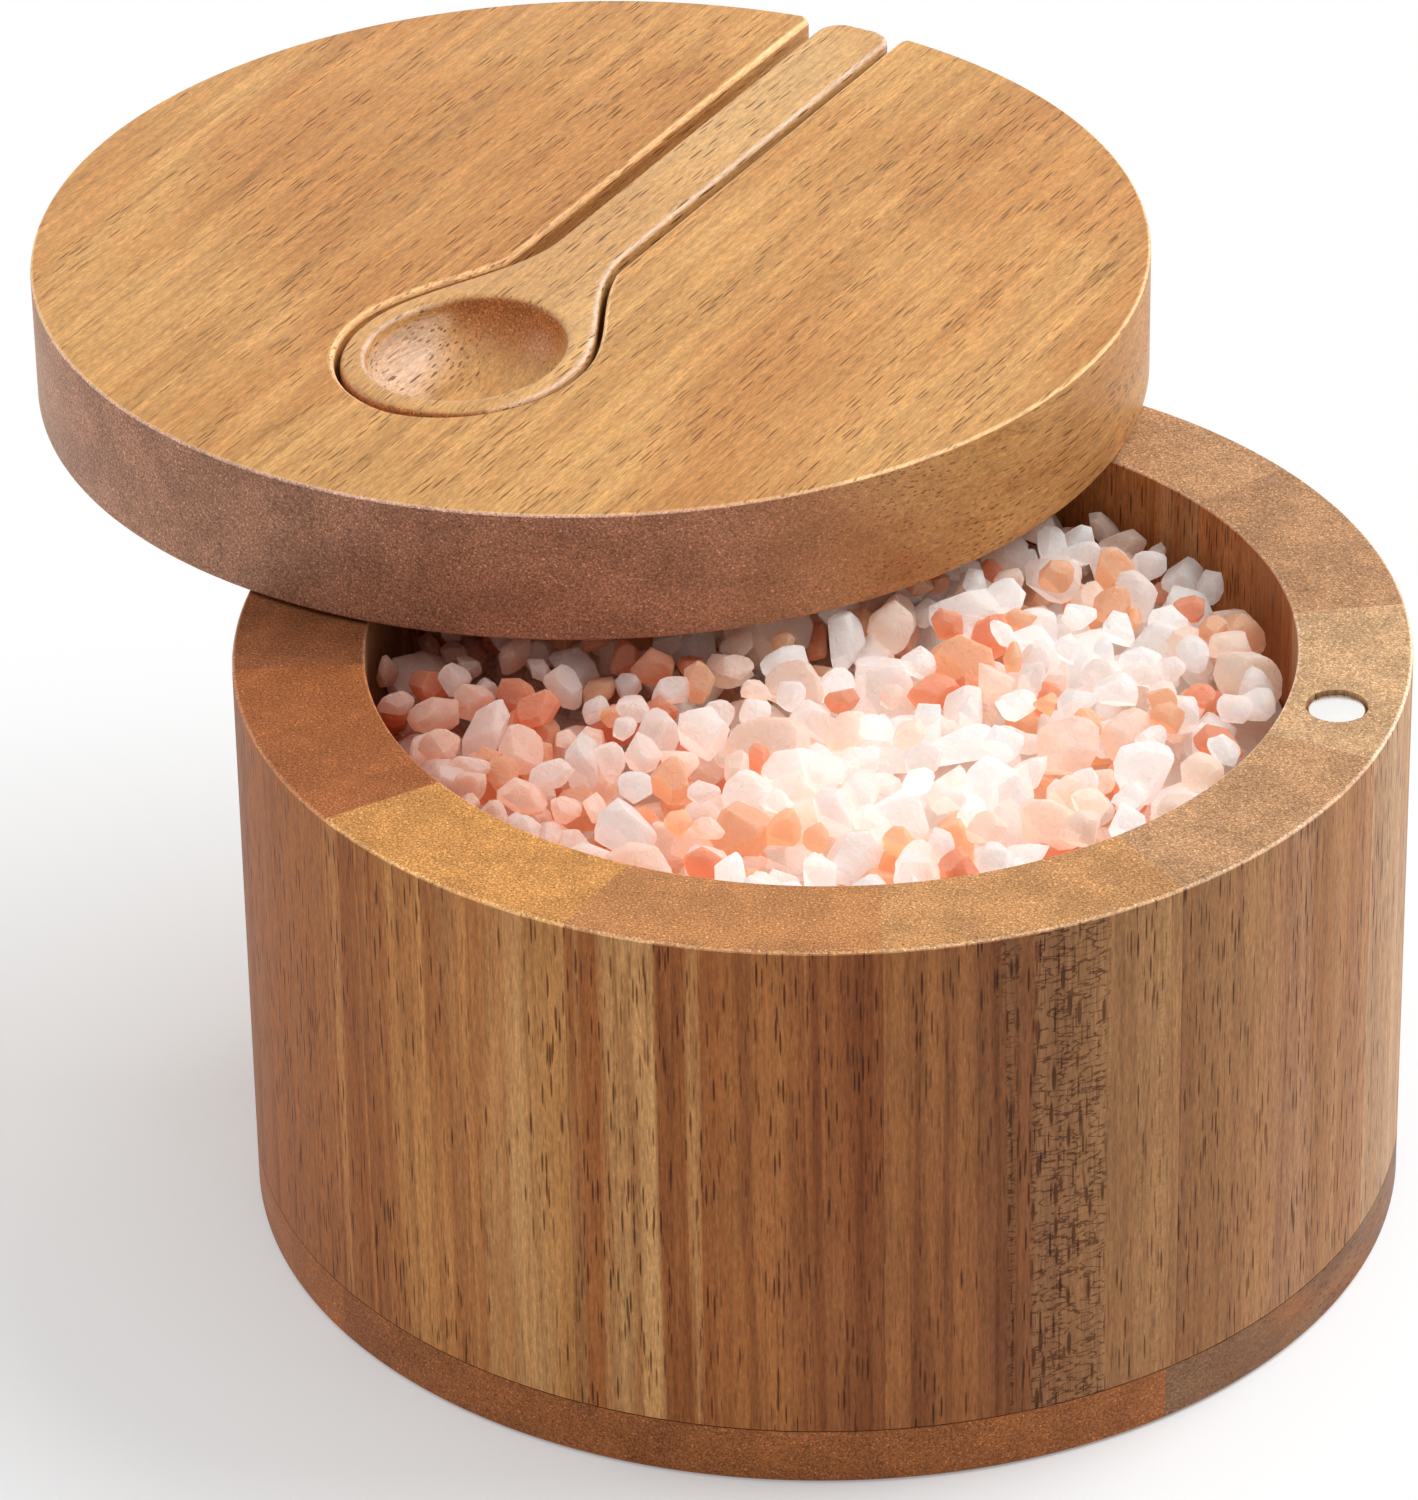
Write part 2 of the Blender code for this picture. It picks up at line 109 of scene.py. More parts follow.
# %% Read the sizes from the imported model
rim_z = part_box("wall_stave_01")[1].z
wall_bottom_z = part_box("wall_stave_01")[0].z
base_top_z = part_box("base_plank_middle")[1].z
body_radius = (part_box("base_plank_middle")[1].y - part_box("base_plank_middle")[0].y) / 2
lid_low, lid_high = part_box("lid")
lid_centre = (lid_low + lid_high) / 2
swivel = next(joint for joint in frame["joints"] if joint["name"] == "lid_swivel")
pin_axis = Vector(swivel["pos_m"])
lid_turn = math.atan2(lid_centre.y - pin_axis.y, lid_centre.x - pin_axis.x)
along_lid = Vector((math.cos(lid_turn), math.sin(lid_turn), 0))
magnet_low, magnet_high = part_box("cup_magnet")
magnet_centre = (magnet_low + magnet_high) / 2
WALL_THICKNESS = 0.0107
BORE_SHIFT = 0.0008
STAVE_COUNT = 12
FIRST_JOINT_ANGLE = math.radians(-158.7)
bore_radius = body_radius - WALL_THICKNESS
print("rim", round(rim_z, 4), "radius", round(body_radius, 4))
print("lid turned", round(math.degrees(lid_turn), 1))

# %% [markdown]
# ## Helpers for modelling by hand in code
#
# Blender's mesh operators act on whatever is selected. Working in a window, one clicks the faces or
# edges first; in a script the same thing is done by testing each one's place. These helpers add a
# primitive with nothing else selected, pick elements by a test, and cut one piece with another.

# %% Modelling helpers
HAIR = 0.00001


def take(piece):
    """Selects one piece alone and makes it the active one."""
    bpy.ops.object.select_all(action="DESELECT")
    bpy.context.view_layer.objects.active = piece
    piece.select_set(True)


def start_with(add, name, **settings):
    """Adds a primitive, names it and puts its place into its mesh."""
    bpy.ops.object.select_all(action="DESELECT")
    add(**settings)
    piece = bpy.context.object
    piece.name = piece.data.name = name
    bpy.ops.object.transform_apply(location=True, rotation=True, scale=True)
    return piece


def turn_disc(name, vertices, radius, low, high, centre=(0, 0)):
    """A cylinder from one height to another."""
    return start_with(
        bpy.ops.mesh.primitive_cylinder_add, name, vertices=vertices, radius=radius,
        depth=high - low, location=(centre[0], centre[1], (low + high) / 2),
    )


def edit(piece):
    take(piece)
    bpy.ops.object.mode_set(mode="EDIT")


def leave_edit():
    bpy.ops.object.mode_set(mode="OBJECT")


def pick(piece, kind, test):
    """In edit mode, selects the vertices, edges or faces that pass a test, and says how many."""
    bpy.ops.mesh.select_mode(type=kind)
    bpy.ops.mesh.select_all(action="DESELECT")
    shape = bmesh.from_edit_mesh(piece.data)
    group = {"VERT": shape.verts, "EDGE": shape.edges, "FACE": shape.faces}[kind]
    count = 0
    for item in group:
        if test(item):
            item.select_set(True)
            count += 1
    bmesh.update_edit_mesh(piece.data)
    return count


def middle_of(edge):
    return (edge.verts[0].co + edge.verts[1].co) / 2


def round_ends(piece, rounding, steps):
    """Rounds the edges of a disc's top and bottom."""
    edit(piece)
    pick(piece, "EDGE", lambda edge: abs(edge.verts[0].co.z - edge.verts[1].co.z) < HAIR)
    bpy.ops.mesh.bevel(offset=rounding, segments=steps, profile=0.5)
    leave_edit()


def cut_with(piece, cutter):
    """Takes one mesh away from another and deletes the cutter."""
    boolean = piece.modifiers.new("cut", "BOOLEAN")
    boolean.operation = "DIFFERENCE"
    boolean.object = cutter
    take(piece)
    bpy.ops.object.modifier_apply(modifier=boolean.name)
    bpy.data.objects.remove(cutter)


def loft(name, rings):
    """Sets a circle to the first ring of points and extrudes it through the other rings."""
    piece = start_with(
        bpy.ops.mesh.primitive_circle_add, name, vertices=len(rings[0]), fill_type="NGON",
        radius=1, location=rings[0][0],
    )
    edit(piece)
    shape = bmesh.from_edit_mesh(piece.data)
    shape.faces.ensure_lookup_table()
    for vertex, place in zip(shape.faces[0].verts, rings[0]):
        vertex.co = place
    bmesh.update_edit_mesh(piece.data)
    bpy.ops.mesh.select_all(action="SELECT")
    for before, after in zip(rings, rings[1:]):
        bpy.ops.mesh.extrude_region_move()
        shape = bmesh.from_edit_mesh(piece.data)
        for vertex in [vertex for vertex in shape.verts if vertex.select]:
            distances = [(place - vertex.co).length_squared for place in before]
            vertex.co = after[distances.index(min(distances))]
        bmesh.update_edit_mesh(piece.data)
    bpy.ops.mesh.select_all(action="SELECT")
    bpy.ops.mesh.normals_make_consistent(inside=False)
    leave_edit()
    return piece


def smooth(piece, degrees):
    take(piece)
    bpy.ops.object.shade_smooth_by_angle(angle=math.radians(degrees))


# %% [markdown]
# ## Building a material from nodes
#
# Every finish here is made of nodes, and small helpers keep that readable. The first fills a node's
# inputs, and the second adds a node with its properties. The others each make one common node.

# %% Node helpers
def fill(made, inputs):
    """Sets each input of a node to a value, or links it to what another node gives."""
    for socket, value in inputs.items():
        if isinstance(value, bpy.types.NodeSocket):
            made.id_data.links.new(value, made.inputs[socket])
        else:
            made.inputs[socket].default_value = value


def node(tree, kind, inputs=None, **properties):
    made = tree.nodes.new(kind)
    for name, value in properties.items():
        setattr(made, name, value)
    fill(made, inputs or {})
    return made


def fed_by(kind, inputs, **properties):
    """Adds a node to the tree that its inputs come from: a socket knows its tree."""
    tree = next(value.id_data for value in inputs.values() if isinstance(value, bpy.types.NodeSocket))
    return node(tree, kind, inputs, **properties)


def arithmetic(operation, first, second=0.0, clamp=False):
    inputs = {0: first, 1: second}
    return fed_by("ShaderNodeMath", inputs, operation=operation, use_clamp=clamp).outputs[0]


def times(first, second):
    return arithmetic("MULTIPLY", first, second)


def larger(first, second):
    return arithmetic("MAXIMUM", first, second)


def dot(vector, direction):
    """How far a vector goes in a direction."""
    inputs = {0: vector, 1: direction}
    return fed_by("ShaderNodeVectorMath", inputs, operation="DOT_PRODUCT").outputs["Value"]


def noise(place, scale, detail, roughness=0.5, distortion=0.0):
    inputs = {
        "Vector": place, "Scale": scale, "Detail": detail, "Roughness": roughness,
        "Distortion": distortion,
    }
    return fed_by("ShaderNodeTexNoise", inputs).outputs[0]


def step_between(value, low, high, out_low=0.0, out_high=1.0):
    """Maps a value smoothly from one range to another."""
    inputs = {"Value": value, "From Min": low, "From Max": high, "To Min": out_low, "To Max": out_high}
    return fed_by("ShaderNodeMapRange", inputs, interpolation_type="SMOOTHSTEP").outputs["Result"]


def blend_colours(factor, first, second, mode="MIX"):
    first, second = ((*each, 1) if isinstance(each, tuple) else each for each in (first, second))
    inputs = {0: factor, 6: first, 7: second}
    return fed_by("ShaderNodeMix", inputs, data_type="RGBA", blend_type=mode).outputs[2]


def ramp(value, tones):
    """Runs through a row of tones, evenly spaced, as a value goes from 0 to 1."""
    made = fed_by("ShaderNodeValToRGB", {"Fac": value})
    stops = made.color_ramp.elements
    while len(stops) < len(tones):
        stops.new(1.0)
    for i, tone in enumerate(tones):
        stops[i].position = i / (len(tones) - 1)
    for stop, tone in zip(stops, tones):
        stop.color = (*tone, 1)
    return made.outputs["Color"]


def new_material(name):
    """A new material, its node tree and its shader."""
    material = bpy.data.materials.new(name)
    material.use_nodes = True
    return material, material.node_tree, material.node_tree.nodes["Principled BSDF"]


def roughen(shader, height, strength, depth):
    """Makes a surface uneven by a height between 0 and 1, and gives its normal to other shaders."""
    inputs = {"Height": height, "Strength": strength, "Distance": depth}
    uneven = fed_by("ShaderNodeBump", inputs).outputs[0]
    fill(shader, {"Normal": uneven})
    return uneven


# %% [markdown]
# ## Light and floor
#
# The photograph is a plain studio shot: a white floor, a big soft light high on the right, a weaker
# one on the left, a wide one overhead, and a low one behind on the right that catches the edges.
# Small hard lamps would give dark shadows with sharp ends, so these are large discs. They are kept
# at a level at which a colour renders about as it is written. The world is dim as a lamp but white
# to look at, so that the white studio shows behind the cellar and is mirrored in the metal.

# %% Lamps and world
# Each lamp: its place to the right, away from the camera and up, then its size and its power.
LAMPS = {
    "key": ((0.60, 0.22, 0.85), 0.7, 8.3),
    "left": ((-0.85, 0.30, 0.50), 0.6, 2.2),
    "edge": ((0.75, 0.80, 0.28), 0.5, 3.4),
    "top": ((-0.05, -0.15, 1.1), 0.9, 2.6),
}
WORLD_LIGHT = 0.35


def area_lamp(name, place, aim, size, power):
    data = bpy.data.lights.new(name, "AREA")
    data.shape = "DISK"
    data.size = size
    data.energy = power
    lamp = into_scene(name, data)
    lamp.location = place
    lamp.rotation_euler = (Vector(aim) - Vector(place)).to_track_quat("-Z", "Y").to_euler()


def seen_from_camera(across, depth, height):
    """A place given as the photographer sees it: to the right, away from the camera, and up."""
    away = Vector((-math.sin(CAMERA_AZIMUTH), math.cos(CAMERA_AZIMUTH), 0))
    return right * across + away * depth + Vector((0, 0, height))


aim = (0, 0, rim_z / 2)
for name, (place, size, power) in LAMPS.items():
    area_lamp(name, seen_from_camera(*place), aim, size, power)

world = bpy.data.worlds.new("studio")
scene.world = world
world.use_nodes = True
tree = world.node_tree


def looked_at(tree):
    """1 for rays that look at the studio, straight or in a reflection, and 0 for rays that light."""
    path = node(tree, "ShaderNodeLightPath").outputs
    mirrored = larger(path["Is Glossy Ray"], path["Is Transmission Ray"])
    return larger(path["Is Camera Ray"], mirrored)


strength = step_between(looked_at(tree), 0.0, 1.0, WORLD_LIGHT, 1.0)
fill(tree.nodes["Background"], {"Color": (1, 1, 1, 1), "Strength": strength})

# %% [markdown]
# ## The floor
#
# The floor of the photograph is grey near the cellar on the left and fades to pure white behind it
# and on the right. The plane keeps the real shadow. A little white glow is mixed in everywhere, and
# more and more of it where the floor fades.

# %% Lay the floor
FLOOR_WHITE = (0.91, 0.925, 0.935, 1)
FLOOR_FADES_BACK = (-0.03, 0.09)
FLOOR_FADES_RIGHT = (0.01, 0.08)
FLOOR_GLOW = 0.26
FLOOR_ROUGHNESS = 0.7
FLOOR_SHINE = 0.2
FLOOR_SIZE = 6
floor = start_with(bpy.ops.mesh.primitive_plane_add, "floor", size=FLOOR_SIZE)
floor_finish, tree, floor_shader = new_material("floor_white")
fill(floor_shader, {
    "Base Color": FLOOR_WHITE, "Roughness": FLOOR_ROUGHNESS, "Specular IOR Level": FLOOR_SHINE,
})
place = node(tree, "ShaderNodeTexCoord").outputs["Object"]
fade = FLOOR_GLOW
for direction, stretch in ((-back, FLOOR_FADES_BACK), (right, FLOOR_FADES_RIGHT)):
    fade = larger(step_between(dot(place, direction), *stretch), fade)
white = node(tree, "ShaderNodeEmission", {"Color": (1, 1, 1, 1), "Strength": 1.0})
share = times(fade, looked_at(tree))
mixed = node(tree, "ShaderNodeMixShader", {0: share, 1: floor_shader.outputs[0], 2: white.outputs[0]})
fill(tree.nodes["Material Output"], {"Surface": mixed.outputs[0]})
floor.data.materials.append(floor_finish)
scene.view_settings.view_transform = "Standard"
print("lamps", len(LAMPS), "floor", FLOOR_SIZE, "m wide")

# %% [markdown]
# ## Acacia
#
# Acacia shows the same things at different scales. Broad growth bands run along the board, with a
# thin dark line here and there. Fine fibres streak it. Pores are short dark dashes along the grain,
# some fine and some bold. On a board's end the fibres are seen end on, so the wood looks darker,
# redder and speckled. Small bright specks along the grain and bright points on the end grain are
# painted glints. A few boards have a figure: thin ripples that cross the grain. Edges are sanded
# round, and where a rounded edge leans up, a pale line is painted on it as a painted highlight. One
# material in three dimensions gives all of this on every face, if it knows which way the grain runs.
# Painting each face by hand would never line up at the edges.

# %% The sizes and tones of the grain
# Noises: the width of one unit, how many times longer it is along the grain, its detail, and then
# its roughness and distortion where they differ from the usual.
BANDS = (0.0028, 75, 4.0, 0.6, 0.4)
PATCHES = (0.02, 3, 4.0, 0.6, 0.5)
STREAKS = (0.0006, 28, 3.0, 0.65)
FUZZ = (0.0002, 5, 2.0, 0.6)
HAIRLINES = (0.0035, 45, 2.0)
CROWDS = (0.004, 8, 2.0)
RIPPLES = (0.0022, 0.35, 2.0)
CLOUDS = (0.005, 2.5, 3.0, 0.6)
SPECKS = (0.00022, 1.5, 3.0, 0.75)
# Dots: their spacing, how many times longer they are along the grain, and where their edge starts
# and ends, as shares of the spacing.
FINE_PORES = (0.00026, 13, 0.14, 0.3)
LONG_PORES = (0.00040, 13, 0.19, 0.29)
BOLD_PORES = (0.0010, 11, 0.06, 0.14)
FLECKS = (0.0008, 6, 0.2, 0.32)
# Pips are bright specks along the grain, and the two rows after the end pores are bright points on the
# end grain: all are painted glints.
PIPS = (0.00055, 1.6, 0.1, 0.2)
END_PORES = (0.00085, 2, 0.08, 0.17)
GLINT_POINTS = (0.00055, 1.3, 0.1, 0.22)
GLINT_DUST = (0.000275, 1.3, 0.1, 0.3)
DARK_BAND = (0.60, 0.50, 0.44)
RED_PATCH = (0.93, 0.80, 0.72)
PORE_TINT = (0.24, 0.155, 0.11)
ARRIS_HIGHLIGHT_TINT = (1.9, 2.35, 3.2)
SHEEN_TINT = (1.16, 1.42, 2.5)


def scaled(colour, value):
    """Makes a colour lighter or darker by a factor."""
    inputs = {0: colour, "Scale": value}
    return fed_by("ShaderNodeVectorMath", inputs, operation="SCALE").outputs["Vector"]


def tinted(colour, tint, amount):
    """Multiplies a colour by a tint, as far as an amount between 0 and 1 says."""
    return blend_colours(amount, colour, blend_colours(1.0, colour, tint, "MULTIPLY"))


def stretched(board, width, stretch):
    scale = (1 / width, 1 / width, 1 / width / stretch)
    return fed_by("ShaderNodeMapping", {"Vector": board, "Scale": scale}).outputs[0]


def fibres(board, width, stretch, *texture):
    """Noise that is drawn out along the grain."""
    return noise(stretched(board, width, stretch), 1.0, *texture)


def dots(board, spacing, stretch, inner, outer):
    """1 inside scattered dots and 0 outside them."""
    settings = {"Vector": stretched(board, spacing, stretch), "Scale": 1.0}
    cells = fed_by("ShaderNodeTexVoronoi", settings).outputs["Distance"]
    return step_between(cells, inner, outer, 1.0, 0.0)


def thin_lines(value, width):
    """1 along the lines where a noise passes its middle, and 0 elsewhere."""
    away = arithmetic("ABSOLUTE", arithmetic("SUBTRACT", value, 0.5))
    return step_between(away, 0.0, width, 1.0, 0.0)


# %% Pores, figure and end grain
# A name that ends in STEP says where a soft step starts and ends, here on a noise from 0 to 1.
FINE_PORE_SHARE = 0.5
CROWD_STEP = (0.36, 0.6)
CROWD_SHARES = (0.3, 1.0)
RIPPLE_WIDTH = 0.045
FIGURE_FADES = (0.04, 0.08)
FIGURE_SHARE = 0.85
CLOUD_STEP = (0.35, 0.65)
CLOUD_TONES = (0.88, 1.14)
SPECK_STEP = (0.3, 0.7)
SPECK_TONES = (0.5, 1.45)
END_PORE_SHARE = 0.5
GLINT_SHARE = 0.62
GLINT_TONE = 2.4


def pore_dashes(board):
    """Fine and long pores that crowd in some places, and a few bold ones."""
    fine = times(dots(board, *FINE_PORES), FINE_PORE_SHARE)
    dash = larger(fine, dots(board, *LONG_PORES))
    crowd = step_between(fibres(board, *CROWDS), *CROWD_STEP, *CROWD_SHARES)
    return larger(times(dash, crowd), dots(board, *BOLD_PORES))


def figure_marks(board, run, start, end):
    """Ripples across the grain, with flecks, from one place to another of the stave's width."""
    ripple = thin_lines(fibres(board, *RIPPLES), RIPPLE_WIDTH)
    marks = larger(ripple, dots(board, *FLECKS))
    first, last = FIGURE_FADES
    begun = step_between(run, start - first, start + first)
    ended = step_between(run, end - last, end + last, 1.0, 0.0)
    return times(times(marks, times(begun, ended)), FIGURE_SHARE)


def end_grain(board, tone):
    """Fibres seen end on: cloudy and speckled, with open pores and golden points that are painted
    glints.
    """
    end = scaled(tone, step_between(fibres(board, *CLOUDS), *CLOUD_STEP, *CLOUD_TONES))
    end = scaled(end, step_between(fibres(board, *SPECKS), *SPECK_STEP, *SPECK_TONES))
    end = tinted(end, PORE_TINT, times(dots(board, *END_PORES), END_PORE_SHARE))
    painted_glint = larger(dots(board, *GLINT_POINTS), dots(board, *GLINT_DUST))
    return blend_colours(times(painted_glint, GLINT_SHARE), end, scaled(end, GLINT_TONE))


# %% The wood material
BOARD_SHIFTS = (0.37, 0.61, 0.83)
BAND_STEP = (0.36, 0.66)
PATCH_STEP = (0.36, 0.64)
WANDER = 0.24
FIBRE_STEP = (0.25, 0.75)
STREAK_TONES = (0.82, 1.12)
FUZZ_TONES = (0.80, 1.17)
HAIRLINE_WIDTH = 0.012
HAIRLINE_SHARE = 0.45
PIP_SHARE = 0.3
PIP_TONE = 1.6
# These steps are on how squarely a face looks along the grain, up, or towards the side that gets a
# painted sheen.
END_STEP = (0.3, 0.85)
SHEEN_SIDE_STEP = (0.14, 0.5)
SHEEN_UP_STEP = (0.2, 0.4)
ARRIS_HIGHLIGHT_FROM_STEP = (0.15, 0.5)
ARRIS_HIGHLIGHT_TO_STEP = (0.8, 0.98)
WOOD_SHINE = 0.12
GLOSS_STEP = (0.2, 0.8)
GLOSS_SPREAD = (-0.06, 0.1)
OIL_ROUGHNESS = 0.42
FUZZ_RELIEF = 0.6
RELIEF_STRENGTH = 0.5
PORE_DEPTH = 0.00005


def wood(name, grain, tones, end_tone, seed, across=None, width=0.03, bands=0.5, pores=0.7,
         figure=None, gloss=0.45, patches=0.5, oil=0.0, arris=0.9, sheen_toward=None):
    """Acacia with its grain along a direction and its tones side by side across a width."""
    material, tree, shader = new_material(name)
    place = node(tree, "ShaderNodeTexCoord").outputs
    grain = Vector(grain).normalized()
    turn = grain.rotation_difference(Vector((0, 0, 1))).to_euler()
    shift = Vector([share * seed % 1 for share in BOARD_SHIFTS])
    inputs = {"Vector": place["Object"], "Rotation": turn, "Location": shift}
    board = node(tree, "ShaderNodeMapping", inputs).outputs[0]

    band = step_between(fibres(board, *BANDS), *BAND_STEP)
    patch = step_between(fibres(board, *PATCHES), *PATCH_STEP)
    streak = fibres(board, *STREAKS)
    fuzz = fibres(board, *FUZZ)
    hairline = thin_lines(fibres(board, *HAIRLINES), HAIRLINE_WIDTH)
    dash = pore_dashes(board)
    run = patch
    if across is not None:
        flat = arithmetic("DIVIDE", dot(place["Object"], across), width)
        wander = times(arithmetic("SUBTRACT", band, 0.5), WANDER)
        run = arithmetic("ADD", arithmetic("ADD", flat, 0.5), wander)

    tone = ramp(run, tones)
    tone = tinted(tone, DARK_BAND, times(band, bands))
    tone = tinted(tone, RED_PATCH, times(patch, patches))
    tone = scaled(tone, step_between(streak, *FIBRE_STEP, *STREAK_TONES))
    tone = scaled(tone, step_between(fuzz, *FIBRE_STEP, *FUZZ_TONES))
    tone = tinted(tone, DARK_BAND, times(hairline, HAIRLINE_SHARE))
    if figure:
        tone = tinted(tone, PORE_TINT, figure_marks(board, run, *figure))
    tone = tinted(tone, PORE_TINT, times(dash, pores))
    # Pips lighten small specks along the grain as painted glints.
    pip = times(dots(board, *PIPS), PIP_SHARE)
    tone = blend_colours(pip, tone, scaled(tone, PIP_TONE))

    is_end = arithmetic("ABSOLUTE", dot(place["Normal"], grain))
    is_end = step_between(is_end, *END_STEP)
    upwards = dot(place["Normal"], (0, 0, 1))
    # A face that leans up towards a given side gets a pale painted sheen, which stands for the light it
    # reflects, and loses its end grain, since that side of the cut is smooth.
    if sheen_toward:
        leaning = step_between(dot(place["Normal"], sheen_toward), *SHEEN_SIDE_STEP)
        smooth_sheen_side = times(leaning, step_between(upwards, *SHEEN_UP_STEP))
        tone = tinted(tone, SHEEN_TINT, smooth_sheen_side)
        is_end = arithmetic("SUBTRACT", is_end, smooth_sheen_side, clamp=True)
    face = blend_colours(is_end, tone, end_grain(board, end_tone))
    # A rounded edge that leans up is lightened towards white as a painted highlight, as far as arris
    # says.
    begun = step_between(upwards, *ARRIS_HIGHLIGHT_FROM_STEP)
    ended = step_between(upwards, *ARRIS_HIGHLIGHT_TO_STEP, 1.0, 0.0)
    arris_highlight = times(times(begun, ended), arris)
    face = tinted(face, ARRIS_HIGHLIGHT_TINT, arris_highlight)

    smoother, rougher = GLOSS_SPREAD
    rough = step_between(streak, *GLOSS_STEP, gloss + smoother, gloss + rougher)
    fill(shader, {
        "Base Color": face, "Roughness": rough, "Specular IOR Level": WOOD_SHINE,
        "Coat Weight": oil, "Coat Roughness": OIL_ROUGHNESS,
    })
    relief = arithmetic("SUBTRACT", times(fuzz, FUZZ_RELIEF), dash)
    roughen(shader, relief, RELIEF_STRENGTH, PORE_DEPTH)
    return material


# %% Dress a piece
def dress(piece, material, body, slot, *nodes):
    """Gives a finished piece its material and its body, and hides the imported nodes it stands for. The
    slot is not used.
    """
    piece.data.materials.clear()
    piece.data.materials.append(material)
    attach(piece, body)
    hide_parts(*nodes)
    print(piece.name, len(piece.data.polygons), "faces")


# %% [markdown]
# ## The staves of the wall
#
# The wall is a ring of twelve staves with upright grain. Each could be a wedge cut by hand, but a
# stave is just a rectangle swept through 30 degrees, so a plane is spun in edit mode. Its edges on
# the rim are rounded, and its long joint edges get a hair of a bevel, which is what makes a glue
# line visible. One stave is modelled, and the others are copies that are turned into place.

# %% Model one stave
STAVE_STEPS = 20
RIM_ROUNDING = 0.0004
JOINT_BEVEL = 0.00005
ROUNDING_STEPS = 5
SMOOTH_DEGREES = 12
sector = math.tau / STAVE_COUNT
middle_radius = (body_radius + bore_radius) / 2
wall_middle = Vector((middle_radius, 0, (rim_z + wall_bottom_z) / 2))

pattern = start_with(
    bpy.ops.mesh.primitive_plane_add, "stave_pattern", size=1, rotation=(math.pi / 2, 0, 0),
    location=wall_middle,
)
pattern.data.transform(
    Matrix.Translation(wall_middle) @ Matrix.Diagonal((WALL_THICKNESS, 1, rim_z - wall_bottom_z, 1))
    @ Matrix.Translation(-wall_middle)
)
edit(pattern)
bpy.ops.mesh.select_all(action="SELECT")
bpy.ops.mesh.spin(steps=STAVE_STEPS, angle=-sector, center=(0, 0, 0), axis=(0, 0, 1))
bpy.ops.mesh.select_all(action="SELECT")
bpy.ops.mesh.remove_doubles(threshold=HAIR)
bpy.ops.mesh.normals_make_consistent(inside=False)


def on_rim(edge, low, high):
    level = all(abs(end.co.z - rim_z) < HAIR for end in edge.verts)
    near = abs(edge.verts[0].co.xy.length - edge.verts[1].co.xy.length) < HAIR
    return level and near and low < middle_of(edge).xy.length < high


picked = 0
for low, high in ((middle_radius, body_radius + HAIR), (0, middle_radius)):
    picked += pick(pattern, "EDGE", lambda edge: on_rim(edge, low, high))
    bpy.ops.mesh.bevel(offset=RIM_ROUNDING, segments=ROUNDING_STEPS, profile=0.5)
leave_edit()
angles = [math.degrees(math.atan2(v.co.y, v.co.x)) for v in pattern.data.vertices]
print("stave spans", round(min(angles), 2), "to", round(max(angles), 2), "edges rounded", picked)

# %% [markdown]
# ## Woods for the staves
#
# No two staves match: the maker glues up offcuts. Each wood below has a row of tones that lie side by
# side across the upright face, one tone for the end grain on the rim, and for a figured stave the
# part of its width that is figured. The visible staves follow the photograph from left to right,
# and the hidden ones at the back go on in the same spirit.

# %% The tones of the staves
HONEY = (0.71, 0.34, 0.11)
WARM = (0.53, 0.215, 0.070)
BROWN = (0.47, 0.175, 0.052)
REDDISH = (0.42, 0.145, 0.042)
DUSKY = (0.36, 0.125, 0.040)
DARK = (0.29, 0.095, 0.030)
GREYISH = (0.37, 0.170, 0.075)
FAWN = (0.49, 0.25, 0.105)
TAN = (0.53, 0.285, 0.125)
AMBER = (0.42, 0.165, 0.055)
UMBER = (0.30, 0.112, 0.042)
OLIVE = (0.40, 0.19, 0.085)
WHEAT = (0.60, 0.26, 0.088)
STRAW = (0.75, 0.41, 0.16)
SLATE = (0.24, 0.135, 0.075)
RUDDY = (0.48, 0.245, 0.125)
PALE = (0.58, 0.35, 0.19)
